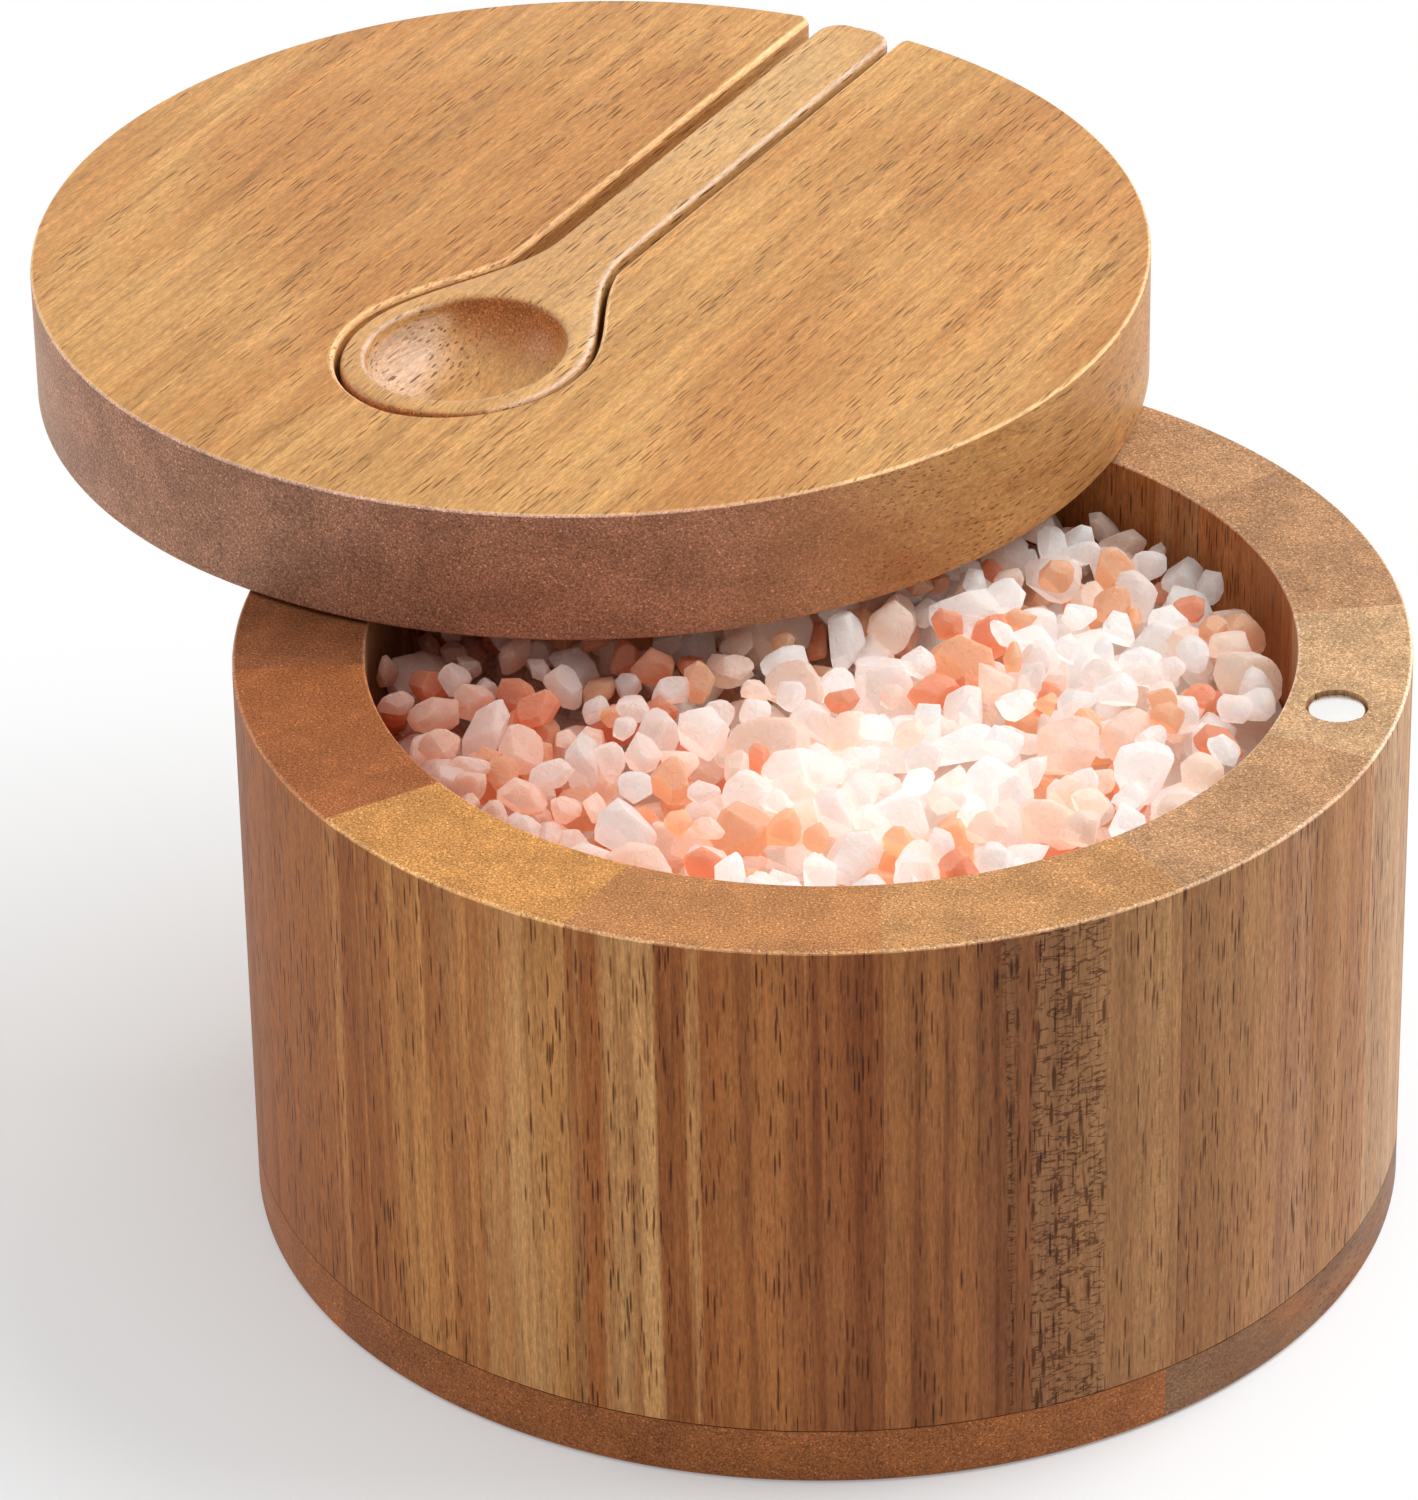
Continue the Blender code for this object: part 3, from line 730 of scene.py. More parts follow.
# The next rim tone is dark end grain and partly painted shade from the lid; it goes on the last stave,
# at the left.
RIM_DEEP_AND_SHADED = (0.24, 0.085, 0.035)
RIM_DARK = (0.33, 0.110, 0.037)
RIM_GOLD = (0.54, 0.25, 0.075)
RIM_RUSSET = (0.445, 0.197, 0.074)
RIM_TAN = (0.47, 0.235, 0.093)
RIM_BROWN = (0.43, 0.235, 0.115)
RIM_DUN = (0.385, 0.205, 0.10)
RIM_PALE = (0.51, 0.31, 0.16)
STAVE_WOODS = [
    ("stave_red_brown", (DUSKY, REDDISH, BROWN, WARM), RIM_DARK, None),
    ("stave_golden", (WHEAT, REDDISH, HONEY, WARM, STRAW, HONEY), RIM_GOLD, None),
    ("stave_brown", (REDDISH, STRAW, REDDISH, WARM, DUSKY, DARK), RIM_RUSSET, None),
    ("stave_figured", (*[AMBER] * 2, *[UMBER] * 2, *[OLIVE] * 2, *[FAWN] * 3), RIM_TAN, (0.40, 0.78)),
    ("stave_mid_brown", (GREYISH, FAWN, RUDDY, FAWN, RUDDY), RIM_BROWN, None),
    ("stave_pale", (PALE, PALE, TAN, PALE), RIM_PALE, None),
    ("stave_red_brown", (BROWN, REDDISH, WARM, REDDISH), RIM_DUN, None),
    ("stave_golden", (TAN, WARM, HONEY, BROWN), RIM_BROWN, None),
    ("stave_brown", (DARK, BROWN, REDDISH, BROWN), RIM_RUSSET, (0.1, 0.4)),
    ("stave_figured", (WARM, TAN, WARM, BROWN), RIM_GOLD, (0.5, 0.9)),
    ("stave_mid_brown", (GREYISH, BROWN, WARM, TAN), RIM_DARK, None),
    ("stave_pale", (PALE, TAN, PALE, TAN), RIM_DEEP_AND_SHADED, None),
]

# %% Copy a stave and bore a hole
HOLE_VERTICES = 48


def on_joint(edge, start):
    """Whether an edge is upright and lies at either side of the stave that begins at an angle."""
    upright = abs(edge.verts[0].co.z - edge.verts[1].co.z) > rim_z / 2
    angle = math.atan2(middle_of(edge).y, middle_of(edge).x)
    away = min(abs(math.remainder(angle - side, math.tau)) for side in (start, start + sector))
    return upright and away < sector / STAVE_STEPS / 2


def make_stave(number):
    """Copies the pattern into one place of the ring and moves its inner face to the bore's centre."""
    name = f"stave_{number + 1:02d}"
    start = FIRST_JOINT_ANGLE + sector * number
    mesh = pattern.data.copy()
    mesh.transform(Matrix.Rotation(start, 4, "Z"))
    for vertex in mesh.vertices:
        if vertex.co.xy.length < middle_radius:
            vertex.co.x += BORE_SHIFT
    mesh.name = name
    stave = into_scene(name, mesh)
    edit(stave)
    pick(stave, "EDGE", lambda edge: on_joint(edge, start))
    bpy.ops.mesh.bevel(offset=JOINT_BEVEL, segments=1)
    leave_edit()
    return stave, start


def bore_hole(piece, centre, radius, low, high):
    cut_with(piece, turn_disc("hole", HOLE_VERTICES, radius, low, high, centre))


# %% Build the ring of staves
SEAT_CLEARANCE = 0.0002
OVERRUN = 0.002
magnet_radius = (magnet_high.x - magnet_low.x) / 2
pin_low, pin_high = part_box("swivel_pin")
pin_radius = (pin_high.x - pin_low.x) / 2
for number in range(STAVE_COUNT):
    stave, start = make_stave(number)
    for centre, radius, floor_z in (
        (magnet_centre, magnet_radius, magnet_low.z), (pin_axis, pin_radius, pin_low.z),
    ):
        away = math.remainder(math.atan2(centre.y, centre.x) - start - sector / 2, math.tau)
        if abs(away) < sector / 2:
            bore_hole(stave, centre, radius + SEAT_CLEARANCE, floor_z - SEAT_CLEARANCE, rim_z + OVERRUN)
    smooth(stave, SMOOTH_DEGREES)
    slot, tones, end_tone, figure = STAVE_WOODS[number]
    tangent = Vector((-math.sin(start + sector / 2), math.cos(start + sector / 2), 0))
    finish = wood(
        stave.name, (0, 0, 1), tones, end_tone, number + 1.3, across=tangent,
        width=body_radius * sector, figure=figure, bands=0.6, pores=0.9,
    )
    dress(stave, finish, "cup", slot, f"wall_stave_{number + 1:02d}")
bpy.data.objects.remove(pattern)

# %% [markdown]
# ## The base
#
# The base is a thin round board glued from three planks that point towards the camera, so its edge
# shows end grain in the middle and long grain at both sides. It could be three separate
# outlines. Here each plank starts as the whole disc and is bisected along its joints, so that the
# three fit together.

# %% Turn the base and cut it into planks
SIDE_PLANK_WIDTH = 0.0151
PLANK_ANGLE = math.radians(-84.6)
FOOT_ROUNDING = 0.0006
BASE_VERTICES = 240
plank_direction = Vector((math.cos(PLANK_ANGLE), math.sin(PLANK_ANGLE), 0))
plank_side = Vector((plank_direction.y, -plank_direction.x, 0))
seam = body_radius - SIDE_PLANK_WIDTH


def make_plank(name, cuts, tone, seed):
    plank = turn_disc(name, BASE_VERTICES, body_radius, 0, base_top_z)
    edit(plank)
    pick(plank, "EDGE", lambda edge: all(end.co.z < HAIR for end in edge.verts))
    bpy.ops.mesh.bevel(offset=FOOT_ROUNDING, segments=ROUNDING_STEPS, profile=0.5)
    for distance, keep in cuts:
        bpy.ops.mesh.select_all(action="SELECT")
        bpy.ops.mesh.bisect(
            plane_co=plank_side * distance, plane_no=plank_side * keep, use_fill=True, clear_inner=True
        )
    leave_edit()
    smooth(plank, SMOOTH_DEGREES)
    finish = wood(name, plank_direction, (tone, BROWN), tone, seed, bands=0.6)
    dress(plank, finish, "cup", "base_wood", "base_" + name)


make_plank("plank_right", [(-seam, -1)], SLATE, 5.1)
make_plank("plank_middle", [(seam, -1), (-seam, 1)], DUSKY, 7.7)
make_plank("plank_left", [(seam, 1)], REDDISH, 3.2)

# %% [markdown]
# ## The lid
#
# The lid is a thick disc turned from one board. Its groove follows the spoon at a small distance and
# runs out through the edge. A router would cut the groove and then round its arris with a second
# bit. Here one cutter is shaped like both bits together, narrow below and flaring in most of a
# quarter circle at the lid's top.

# %% The outline that the spoon and its groove share
SPOON_TIP_FROM_PIN = 0.0082
SPOON_OFF_CENTRE = -0.0004
BOWL_HALF_WIDTH = 0.01075
BOWL_WIDEST_AT = 0.0126
BOWL_DEPTH = 0.0085
NECK_AT = 0.035
NECK_HALF_WIDTH = 0.00345
HANDLE_END_HALF_WIDTH = 0.0037
HANDLE_DEPTH = 0.0058
HANDLE_END_ROUNDING = 0.0022
lid_edge = (lid_centre.xy - pin_axis.xy).length + body_radius
SPOON_LENGTH = lid_edge - SPOON_TIP_FROM_PIN
lid_place = Matrix.Translation((pin_axis.x, pin_axis.y, rim_z)) @ Matrix.Rotation(lid_turn, 4, "Z")


def swell(distance):
    """Runs smoothly from 1 at the widest place of the bowl to 0 at the neck."""
    share = (distance - BOWL_WIDEST_AT) / (NECK_AT - BOWL_WIDEST_AT)
    return (1 + math.cos(math.pi * min(max(share, 0), 1))) / 2


def tip_round(distance):
    back = max(BOWL_WIDEST_AT - distance, 0) / BOWL_WIDEST_AT
    return math.sqrt(max(1 - back**2, 0))


def end_inset(distance):
    past = max(distance - (SPOON_LENGTH - HANDLE_END_ROUNDING), 0)
    return HANDLE_END_ROUNDING - math.sqrt(max(HANDLE_END_ROUNDING**2 - past**2, 0))


def half_width(distance):
    run = max(distance - NECK_AT, 0) / (SPOON_LENGTH - NECK_AT)
    handle = NECK_HALF_WIDTH + (HANDLE_END_HALF_WIDTH - NECK_HALF_WIDTH) * run
    width = handle + (BOWL_HALF_WIDTH - handle) * swell(distance)
    return width * tip_round(distance) - end_inset(distance)


def full_depth(distance):
    depth = HANDLE_DEPTH + (BOWL_DEPTH - HANDLE_DEPTH) * swell(distance)
    return depth * tip_round(distance) - end_inset(distance)


def stations(count):
    """Distances from the spoon's tip, closer together at both ends."""
    return [SPOON_LENGTH * (1 - math.cos(math.pi * i / count)) / 2 for i in range(1, count)]


print("spoon length", round(SPOON_LENGTH, 4), "neck half width", round(half_width(NECK_AT), 4))

# %% Shape the groove's cutter
SPOON_CLEARANCE = 0.0003
GROOVE_DEPTH = BOWL_DEPTH + SPOON_CLEARANCE
GROOVE_HALF_WIDTH = 0.0049
GROOVE_MARGIN = 0.0006
GROOVE_LIP_ROUNDING = 0.0012
GROOVE_ARRIS = 0.0008
GROOVE_STATIONS = 90
LIP_STEPS = 8
ARRIS_STEPS = 5
ARRIS_TURN = math.radians(75)
ARRIS_FULL = 0.96


def groove_side(sign):
    side = []
    for distance in stations(GROOVE_STATIONS):
        x = SPOON_TIP_FROM_PIN + distance - GROOVE_MARGIN * (1 - tip_round(distance))
        y = SPOON_OFF_CENTRE + sign * (half_width(distance) + GROOVE_MARGIN * tip_round(distance))
        if distance > BOWL_WIDEST_AT:
            y = sign * max(sign * y, GROOVE_HALF_WIDTH)
        if x < lid_edge - 2 * GROOVE_LIP_ROUNDING:
            side.append((x, y))
    for step in range(LIP_STEPS + 1):
        turn = math.pi / 2 * step / LIP_STEPS
        x = lid_edge - GROOVE_LIP_ROUNDING + GROOVE_LIP_ROUNDING * math.sin(turn)
        y = GROOVE_HALF_WIDTH + GROOVE_LIP_ROUNDING * (1 - math.cos(turn))
        side.append((x, sign * y))
    side.append((lid_edge + OVERRUN, sign * (GROOVE_HALF_WIDTH + GROOVE_LIP_ROUNDING)))
    return side


def widened(outline, amount):
    """Moves every point of a closed outline outwards by an amount."""
    points = np.array(outline)
    ahead = np.roll(points, -1, axis=0) - points
    ahead /= np.linalg.norm(ahead, axis=1)[:, None]
    behind = np.roll(ahead, 1, axis=0)
    along = ahead + behind
    along /= np.linalg.norm(along, axis=1)[:, None]
    outwards = np.stack((-along[:, 1], along[:, 0]), axis=1)
    return points + outwards * amount


tip = (SPOON_TIP_FROM_PIN - GROOVE_MARGIN, SPOON_OFF_CENTRE)
groove_outline = [tip, *groove_side(1), *reversed(groove_side(-1))]
lid_top = lid_high.z - rim_z
rise = [(lid_top - GROOVE_DEPTH, 0.0), (lid_top - GROOVE_ARRIS, 0.0)]
for step in range(1, ARRIS_STEPS + 1):
    turn = ARRIS_TURN * step / ARRIS_STEPS
    height = lid_top - GROOVE_ARRIS * (1 - math.sin(turn) / math.sin(ARRIS_TURN) * ARRIS_FULL)
    rise.append((height, GROOVE_ARRIS * (1 - math.cos(turn))))
rise.append((lid_top + OVERRUN, GROOVE_ARRIS))
rings = [
    [lid_place @ Vector((x, y, height)) for x, y in widened(groove_outline, flare)]
    for height, flare in rise
]
cutter = loft("groove_cutter", rings)
print("cutter", len(cutter.data.polygons), "faces, groove outline of", len(groove_outline), "points")

# %% Turn the lid and cut it
LID_ROUNDING = 0.0004
LID_VERTICES = 288
PIN_CLEARANCE = 0.0003
lid_piece = turn_disc("lid_disc", LID_VERTICES, body_radius, lid_low.z, lid_high.z, lid_centre)
round_ends(lid_piece, LID_ROUNDING, ROUNDING_STEPS)
cut_with(lid_piece, cutter)
lid_magnet_low, lid_magnet_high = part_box("lid_magnet")
lid_magnet_centre = (lid_magnet_low + lid_magnet_high) / 2
bore_hole(lid_piece, pin_axis, pin_radius + PIN_CLEARANCE, rim_z - OVERRUN, pin_high.z + PIN_CLEARANCE)
bore_hole(
    lid_piece, lid_magnet_centre, magnet_radius + SEAT_CLEARANCE,
    rim_z - OVERRUN, lid_magnet_high.z + SEAT_CLEARANCE,
)
smooth(lid_piece, SMOOTH_DEGREES)
LID_HONEY = (0.655, 0.355, 0.13)
LID_TAN = (0.57, 0.285, 0.10)
LID_END = (0.42, 0.205, 0.122)
lid_finish = wood(
    "lid_wood", along_lid, (LID_HONEY, LID_TAN), LID_END, 2.6, bands=0.35, pores=0.7, gloss=0.4
)
dress(lid_piece, lid_finish, "lid", "lid_wood", "lid")

# %% [markdown]
# ## The spoon
#
# The spoon is carved from one stick. A carver saws the outline, rounds the back, digs the hollow
# and softens every arris with sandpaper. The same steps are taken here: one ring of points is
# extruded from the tip to the handle's end and set to the outline at each step, the hollow is cut
# with a ball, and then a fine remesh with a little smoothing does the work of the sandpaper.

# %% Carve the spoon
SPOON_STATIONS = 120
SECTION_POINTS = 56
SPOON_ARRIS = 0.0008
BOWL_SECTION_POWER = 2.3
HANDLE_SECTION_POWER = 3.2
TOP_SECTION_POWER = 5.0
HOLLOW_AT = 0.0125
HOLLOW_HALF_LENGTH = 0.0099
HOLLOW_HALF_WIDTH = 0.0087
HOLLOW_DEPTH = 0.0060
HOLLOW_SEGMENTS = 64
HOLLOW_RINGS = 32
SANDING_GRAIN = 0.00028
SANDING_STROKES = 6
SANDING_PRESSURE = 0.5


def signed_power(value, power):
    return math.copysign(abs(value) ** power, value)


def spoon_ring(distance):
    """One cross-section of the spoon, in the world."""
    width = half_width(distance)
    depth = full_depth(distance)
    arris = min(SPOON_ARRIS, depth / 2)
    power = HANDLE_SECTION_POWER + (BOWL_SECTION_POWER - HANDLE_SECTION_POWER) * swell(distance)
    ring = []
    for i in range(SECTION_POINTS):
        turn = math.tau * i / SECTION_POINTS
        upper = math.sin(turn) > 0
        shape_power = TOP_SECTION_POWER if upper else power
        height = arris if upper else depth - arris
        across = width * signed_power(math.cos(turn), 2 / shape_power)
        z = height * signed_power(math.sin(turn), 2 / shape_power) - arris
        place = Vector((SPOON_TIP_FROM_PIN + distance, SPOON_OFF_CENTRE + across, lid_top + z))
        ring.append(lid_place @ place)
    return ring


spoon = loft("carved_spoon", [spoon_ring(distance) for distance in stations(SPOON_STATIONS)])
hollow = start_with(
    bpy.ops.mesh.primitive_uv_sphere_add, "hollow", segments=HOLLOW_SEGMENTS,
    ring_count=HOLLOW_RINGS, radius=1,
    scale=(HOLLOW_HALF_LENGTH, HOLLOW_HALF_WIDTH, HOLLOW_DEPTH), rotation=(0, 0, lid_turn),
    location=lid_place @ Vector((SPOON_TIP_FROM_PIN + HOLLOW_AT, SPOON_OFF_CENTRE, lid_top)),
)
cut_with(spoon, hollow)


def sand(piece, grain, strokes):
    """Remeshes a piece finely and smooths it, which rounds its arrises evenly."""
    remesh = piece.modifiers.new("fine", "REMESH")
    remesh.mode = "VOXEL"
    remesh.voxel_size = grain
    soften = piece.modifiers.new("sand", "SMOOTH")
    soften.factor = SANDING_PRESSURE
    soften.iterations = strokes
    take(piece)
    bpy.ops.object.modifier_apply(modifier=remesh.name)
    bpy.ops.object.modifier_apply(modifier=soften.name)
    bpy.ops.object.shade_smooth()


sand(spoon, SANDING_GRAIN, SANDING_STROKES)
SPOON_STRAW = (0.69, 0.41, 0.165)
SPOON_WARM = (0.63, 0.35, 0.13)
SPOON_END = (0.42, 0.155, 0.045)
# The wall of the hollow that faces right, towards the lamps on that side, gets a painted sheen.
spoon_finish = wood(
    "spoon_wood", along_lid, (SPOON_STRAW, SPOON_WARM), SPOON_END, 4.4, bands=0.25, pores=0.95,
    gloss=0.34, patches=0.3, oil=0.3, arris=0.0, sheen_toward=right,
)
dress(spoon, spoon_finish, "spoon", "spoon_wood", "spoon")

# %% [markdown]
# ## Pin and magnets
#
# The pin is a plain steel rod with broken edges, and the magnets are small nickelled discs. Each is a
# cylinder with a small bevel; a hard, bright material does the rest. The photographed magnet is
# a bright white disc, because its smooth nickel reflects the white studio.

# %% Make the metal pieces
PIN_CHAMFER = 0.0004
MAGNET_ROUNDING = 0.0002
MAGNET_ROUNDING_STEPS = 3
METAL_VERTICES = 64
METAL_SMOOTH_DEGREES = 35
# Metals: their colour, their roughness and how many scratches lie side by side in a metre.
STEEL = ((0.56, 0.55, 0.53), 0.3, 2500)
NICKEL = ((0.94, 0.93, 0.91), 0.22, 900)
METAL_GLOSS_STEP = (0.3, 0.7)
METAL_GLOSS_SPREAD = (0.8, 1.3)
METAL_DULLER = 0.93
SCRATCH_DETAIL = 3.0
SCRATCH_STRENGTH = 0.1
SCRATCH_DEPTH = 0.00002


def metal(name, colour, roughness, scratch_scale):
    material, tree, shader = new_material(name)
    place = node(tree, "ShaderNodeTexCoord").outputs["Object"]
    grain = noise(place, scratch_scale, SCRATCH_DETAIL)
    smoother, rougher = METAL_GLOSS_SPREAD
    rough = step_between(grain, *METAL_GLOSS_STEP, roughness * smoother, roughness * rougher)
    dull = tuple(METAL_DULLER * part for part in colour)
    tone = blend_colours(grain, colour, dull)
    fill(shader, {"Metallic": 1.0, "Roughness": rough, "Base Color": tone})
    roughen(shader, grain, SCRATCH_STRENGTH, SCRATCH_DEPTH)
    return material


def metal_disc(name, packed, rounding, steps):
    low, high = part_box(packed)
    disc = turn_disc(name, METAL_VERTICES, (high.x - low.x) / 2, low.z, high.z, (low + high) / 2)
    round_ends(disc, rounding, steps)
    smooth(disc, METAL_SMOOTH_DEGREES)
    return disc


steel = metal("pin_steel", *STEEL)
nickel = metal("magnet_nickel", *NICKEL)
pin = metal_disc("steel_pin", "swivel_pin", PIN_CHAMFER, 1)
dress(pin, steel, "cup", "pin_steel", "swivel_pin")
for place, packed, body in (("rim", "cup_magnet", "cup"), ("lid", "lid_magnet", "lid")):
    magnet = metal_disc("magnet_in_" + place, packed, MAGNET_ROUNDING, MAGNET_ROUNDING_STEPS)
    dress(magnet, nickel, body, "magnet_nickel", packed)

# %% [markdown]
# ## Coarse salt
#
# The cup is full of coarse pink salt: broken crystals of 2 to 6 millimetres, frosted, partly clear,
# from white to salmon red. A heap like this could be dropped by a rigid body simulation, which is
# slow. Here a few lumps are modelled, and copies are laid one after the other, each on the lowest
# of a few spots drawn at random on a height map, which gives a tight natural heap.

# %% Model a few lumps of salt
LUMP_KINDS = 12
LUMP_CUTS = 8
LUMP_SEED = 11
UNEVEN_SEEDS = (1, 9999)
LUMP_UNEVENNESS = 0.24
BREAK_DEPTHS = (0.55, 0.82)
LUMP_WELD = 0.06
LUMP_SMOOTH_DEGREES = 34
random = np.random.default_rng(LUMP_SEED)


def random_direction():
    direction = random.normal(size=3)
    return Vector(direction / np.linalg.norm(direction))


def make_lump(name):
    """A small uneven ball with a few flat breaks and softened edges; its radius is about 1."""
    lump = start_with(bpy.ops.mesh.primitive_ico_sphere_add, name, subdivisions=2, radius=1.0)
    edit(lump)
    bpy.ops.mesh.select_all(action="SELECT")
    bpy.ops.transform.vertex_random(offset=LUMP_UNEVENNESS, seed=int(random.integers(*UNEVEN_SEEDS)))
    for _ in range(LUMP_CUTS):
        direction = random_direction()
        bpy.ops.mesh.select_all(action="SELECT")
        bpy.ops.mesh.bisect(
            plane_co=direction * random.uniform(*BREAK_DEPTHS), plane_no=direction, use_fill=True,
            clear_outer=True,
        )
    bpy.ops.mesh.select_all(action="SELECT")
    bpy.ops.mesh.remove_doubles(threshold=LUMP_WELD)
    bpy.ops.mesh.normals_make_consistent(inside=False)
    leave_edit()
    smooth(lump, LUMP_SMOOTH_DEGREES)
    return lump


lumps = [make_lump(f"lump_{kind:02d}") for kind in range(LUMP_KINDS)]
print("faces of the lumps", [len(lump.data.polygons) for lump in lumps])

# %% Lay the lumps on a height map
MAP_CELL = 0.0003
SALT_FLOOR = 0.040
BORE_GAP = 0.0003
SALT_TOP_MIDDLE = 0.0508
SALT_TOP_BACK = 0.0475
SALT_SLOPE = 0.6
SALT_SPARE = 0.0006
LAYING_TRIES = 14
LAYING_TOLERANCE = 0.0012
LUMP_RADIUS_SMALL = 0.0013
LUMP_RADIUS_LARGE = 0.0030
SMALL_ONES_PREVAIL = 1.2
LUMP_FLATNESS = 0.8
LUMP_SINKS = 0.25
LUMPS_AT_LEAST = 200
LUMPS_AT_MOST = 1500
reach = bore_radius - BORE_GAP
half_cells = int(reach / MAP_CELL) + 2
ticks = np.arange(-half_cells, half_cells + 1) * MAP_CELL
map_x, map_y = np.meshgrid(ticks, ticks, indexing="ij")


def wanted_height(x, y):
    """The salt lies high in the middle and towards the camera, and lower at the back and the sides."""
    out = math.hypot(x, y) / reach
    towards_camera = -y / reach
    drop = (SALT_TOP_MIDDLE - SALT_TOP_BACK) * (SALT_SLOPE * out**3 - SALT_SLOPE * towards_camera * out)
    return min(SALT_TOP_MIDDLE - drop, SALT_TOP_MIDDLE + SALT_SPARE)


wanted = np.vectorize(wanted_height)(map_x, map_y)
heights = np.full(map_x.shape, SALT_FLOOR)
laid = []
while len(laid) < LUMPS_AT_MOST:
    share = random.random() ** SMALL_ONES_PREVAIL
    radius = LUMP_RADIUS_SMALL + (LUMP_RADIUS_LARGE - LUMP_RADIUS_SMALL) * share
    spots = []
    for _ in range(LAYING_TRIES):
        out = math.sqrt(random.random()) * (reach - radius)
        turn = random.uniform(0, math.tau)
        x, y = out * math.cos(turn), out * math.sin(turn)
        i, j = round(x / MAP_CELL) + half_cells, round(y / MAP_CELL) + half_cells
        spots.append((heights[i, j] - wanted[i, j], x, y, i, j))
    lowest, x, y, i, j = min(spots)
    steps = int(radius / MAP_CELL) + 1
    window = (slice(i - steps, i + steps + 1), slice(j - steps, j + steps + 1))
    away = np.hypot(map_x[window] - x, map_y[window] - y)
    inside = away < radius
    bulge = np.sqrt(np.maximum(radius**2 - away**2, 0)) * LUMP_FLATNESS
    rest = np.max((heights[window] + bulge)[inside])
    rest -= LUMP_SINKS * radius
    top = rest + LUMP_FLATNESS * radius
    if top > wanted[i, j] + LAYING_TOLERANCE:
        if lowest > -LAYING_TOLERANCE and len(laid) > LUMPS_AT_LEAST:
            break
        continue
    heights[window] = np.where(inside, np.maximum(heights[window], rest + bulge), heights[window])
    laid.append((x, y, rest, radius))
print("lumps", len(laid), "highest", round(max(z + r for x, y, z, r in laid), 4))

# %% [markdown]
# ## Salt that lets light through
#
# Rock salt is clear inside and frosted outside, so light enters, scatters and comes out again. A
# plain white surface would look like gravel. Scattering under the surface does most of the
# work, and some of the light passes right through. Shadows in the heap are made nearly clear and
# tinted, so that the gaps glow peach and not grey. The tint differs from lump to lump, so each copy
# carries its own tone. The lumps on the left are redder, partly as red salt and partly as painted
# warm shade, and darker, as painted shade of the lid and the wall.

# %% The salt material
SALT_TINTS = [
    ((0.985, 0.975, 0.97), 0.38),
    ((0.98, 0.925, 0.90), 0.27),
    ((0.97, 0.835, 0.755), 0.19),
    ((0.95, 0.66, 0.47), 0.11),
    ((0.90, 0.50, 0.34), 0.05),
]
SALT_GLOW_DEPTH = 0.0012
SALT_GLOW_TINT = (1.0, 0.8, 0.7)
# Noises: how many units to a metre, the detail, and the roughness where it isn't the usual.
SALT_VEILS = (500.0, 4.0)
SALT_VEIL_STEP = (0.4, 0.7)
SALT_VEIL_TINT = (1.0, 0.93, 0.88)
SALT_BREAKS = (520.0, 6.0, 0.62)
SALT_BREAK_DEPTH = 0.0010
SALT_FROST_STEP = (0.35, 0.65)
SALT_FROST = (0.45, 0.65)
SALT_IOR = 1.4
SALT_LETS_THROUGH = 0.45
SALT_SHADOW_LIGHT = 0.90


def salt_material():
    material, tree, shader = new_material("salt_crystals")
    place = node(tree, "ShaderNodeTexCoord").outputs["Object"]
    tint = node(tree, "ShaderNodeAttribute", attribute_name="tint").outputs["Color"]
    veil = step_between(noise(place, *SALT_VEILS), *SALT_VEIL_STEP)
    deeper = blend_colours(1.0, tint, SALT_VEIL_TINT, "MULTIPLY")
    tone = blend_colours(veil, tint, deeper)
    breaks = noise(place, *SALT_BREAKS)
    rough = step_between(breaks, *SALT_FROST_STEP, *SALT_FROST)
    fill(shader, {
        "Base Color": tone, "Roughness": rough, "IOR": SALT_IOR, "Subsurface Weight": 1.0,
        "Subsurface Radius": SALT_GLOW_TINT, "Subsurface Scale": SALT_GLOW_DEPTH,
    })
    uneven = roughen(shader, breaks, 1.0, SALT_BREAK_DEPTH)
    through = node(tree, "ShaderNodeBsdfTranslucent", {"Color": tint, "Normal": uneven})
    inputs = {0: SALT_LETS_THROUGH, 1: shader.outputs[0], 2: through.outputs[0]}
    both = node(tree, "ShaderNodeMixShader", inputs)
    light = node(tree, "ShaderNodeLightPath").outputs["Is Shadow Ray"]
    clear = node(tree, "ShaderNodeBsdfTransparent", {"Color": tint})
    share = times(light, SALT_SHADOW_LIGHT)
    whole = node(tree, "ShaderNodeMixShader", {0: share, 1: both.outputs[0], 2: clear.outputs[0]})
    fill(tree.nodes["Material Output"], {"Surface": whole.outputs[0]})
    return material


salt_finish = salt_material()
shares = np.array([share for tint, share in SALT_TINTS])

# %% Fill the cup
SALT_TOP_LIMIT = 0.0003
LUMP_STRETCH = (0.72, 1.42)
LUMP_BRIGHTNESS = (0.94, 1.06)
SALT_REDDER_LEFT = 2.6
SALT_SHADE_LEFT = (0.20, 0.43, 0.52)


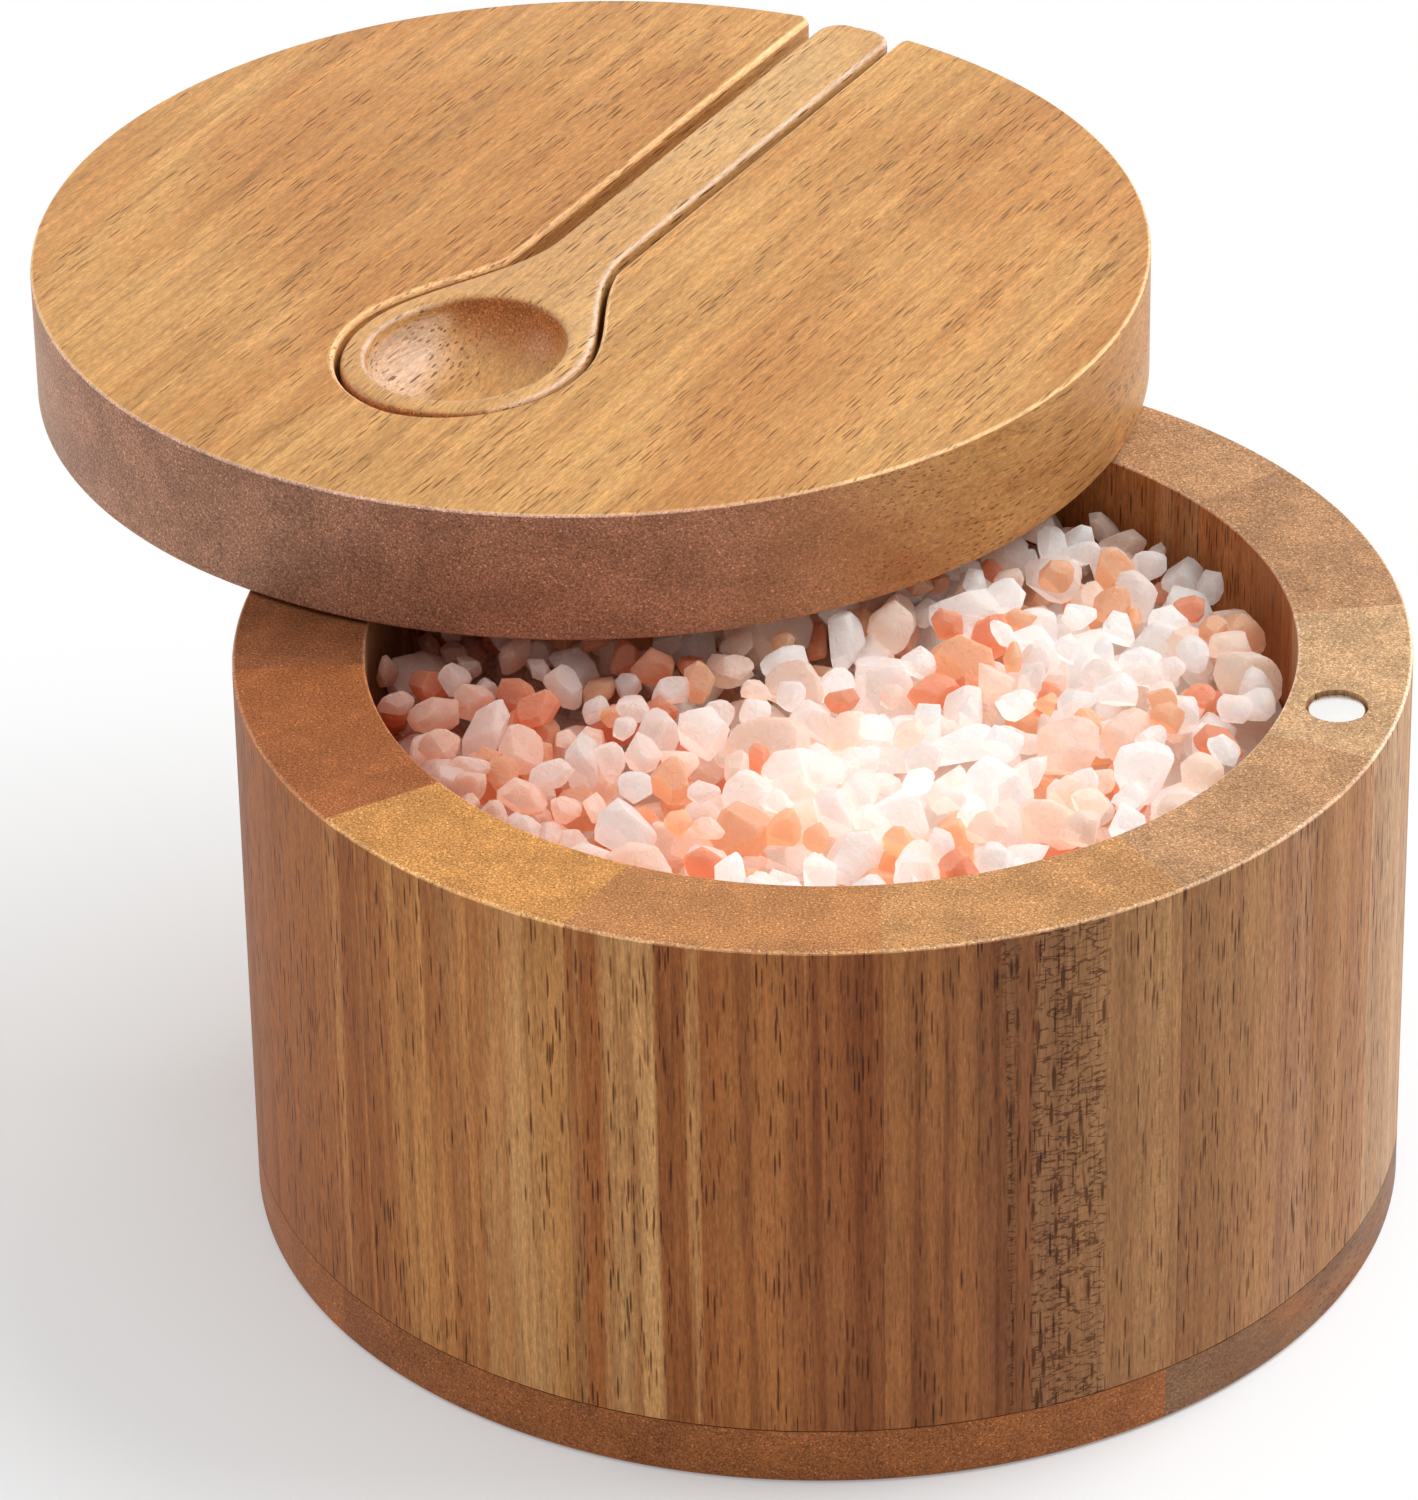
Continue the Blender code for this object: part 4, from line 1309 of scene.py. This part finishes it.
def colour_points(mesh, tint):
    """Gives every point of a mesh one tint, which the salt material reads."""
    attribute = mesh.color_attributes.new("tint", "FLOAT_COLOR", "POINT")
    colours = np.tile((*tint, 1.0), len(mesh.vertices))
    attribute.data.foreach_set("color", colours.astype(np.float32))


copies = []
for x, y, z, radius in laid:
    lump = lumps[random.integers(LUMP_KINDS)]
    mesh = lump.data.copy()
    stretch = Matrix.Diagonal((*random.uniform(*LUMP_STRETCH, 3), 1))
    turn = Matrix.Rotation(random.uniform(0, math.tau), 4, random_direction())
    mesh.transform(Matrix.Translation((x + BORE_SHIFT, y, z)) @ Matrix.Scale(radius, 4) @ turn @ stretch)
    # Lumps on the left get redder tints, partly their own red clusters and partly painted warm shade,
    # and their tint is darkened there as painted shade.
    left_share = max(-(x * right.x + y * right.y) / reach, 0)
    redder = 1 + SALT_REDDER_LEFT * left_share * np.arange(len(shares))
    chances = shares * redder / (shares * redder).sum()
    tint = Vector(SALT_TINTS[random.choice(len(SALT_TINTS), p=chances)][0])
    tint = tint * random.uniform(*LUMP_BRIGHTNESS)
    tint *= Vector((1, 1, 1)) - Vector(SALT_SHADE_LEFT) * left_share**2
    colour_points(mesh, tint)
    copies.append(into_scene("lump", mesh))
for lump in lumps:
    bpy.data.objects.remove(lump)
bpy.ops.object.select_all(action="DESELECT")
for copy in copies:
    copy.select_set(True)
bpy.context.view_layer.objects.active = copies[0]
bpy.ops.object.join()
heap = bpy.context.object
heap.name = heap.data.name = "salt_heap"
for vertex in heap.data.vertices:
    vertex.co.z = min(vertex.co.z, rim_z - SALT_TOP_LIMIT)
    out = Vector((vertex.co.x - BORE_SHIFT, vertex.co.y))
    if out.length > reach:
        out *= reach / out.length
        vertex.co.x = out.x + BORE_SHIFT
        vertex.co.y = out.y

# %% Lay a bed under the heap
SALT_GAP = 0.0001
BED_RISE = 0.002
BED_VERTICES = 96
bed_low = base_top_z + SALT_GAP
bed_high = SALT_FLOOR + BED_RISE
bed = turn_disc("salt_bed", BED_VERTICES, reach, bed_low, bed_high, (BORE_SHIFT, 0))
colour_points(bed.data, SALT_TINTS[2][0])
dress(heap, salt_finish, "cup", "salt_crystals", "salt")
dress(bed, salt_finish, "cup", "salt_crystals", "salt")
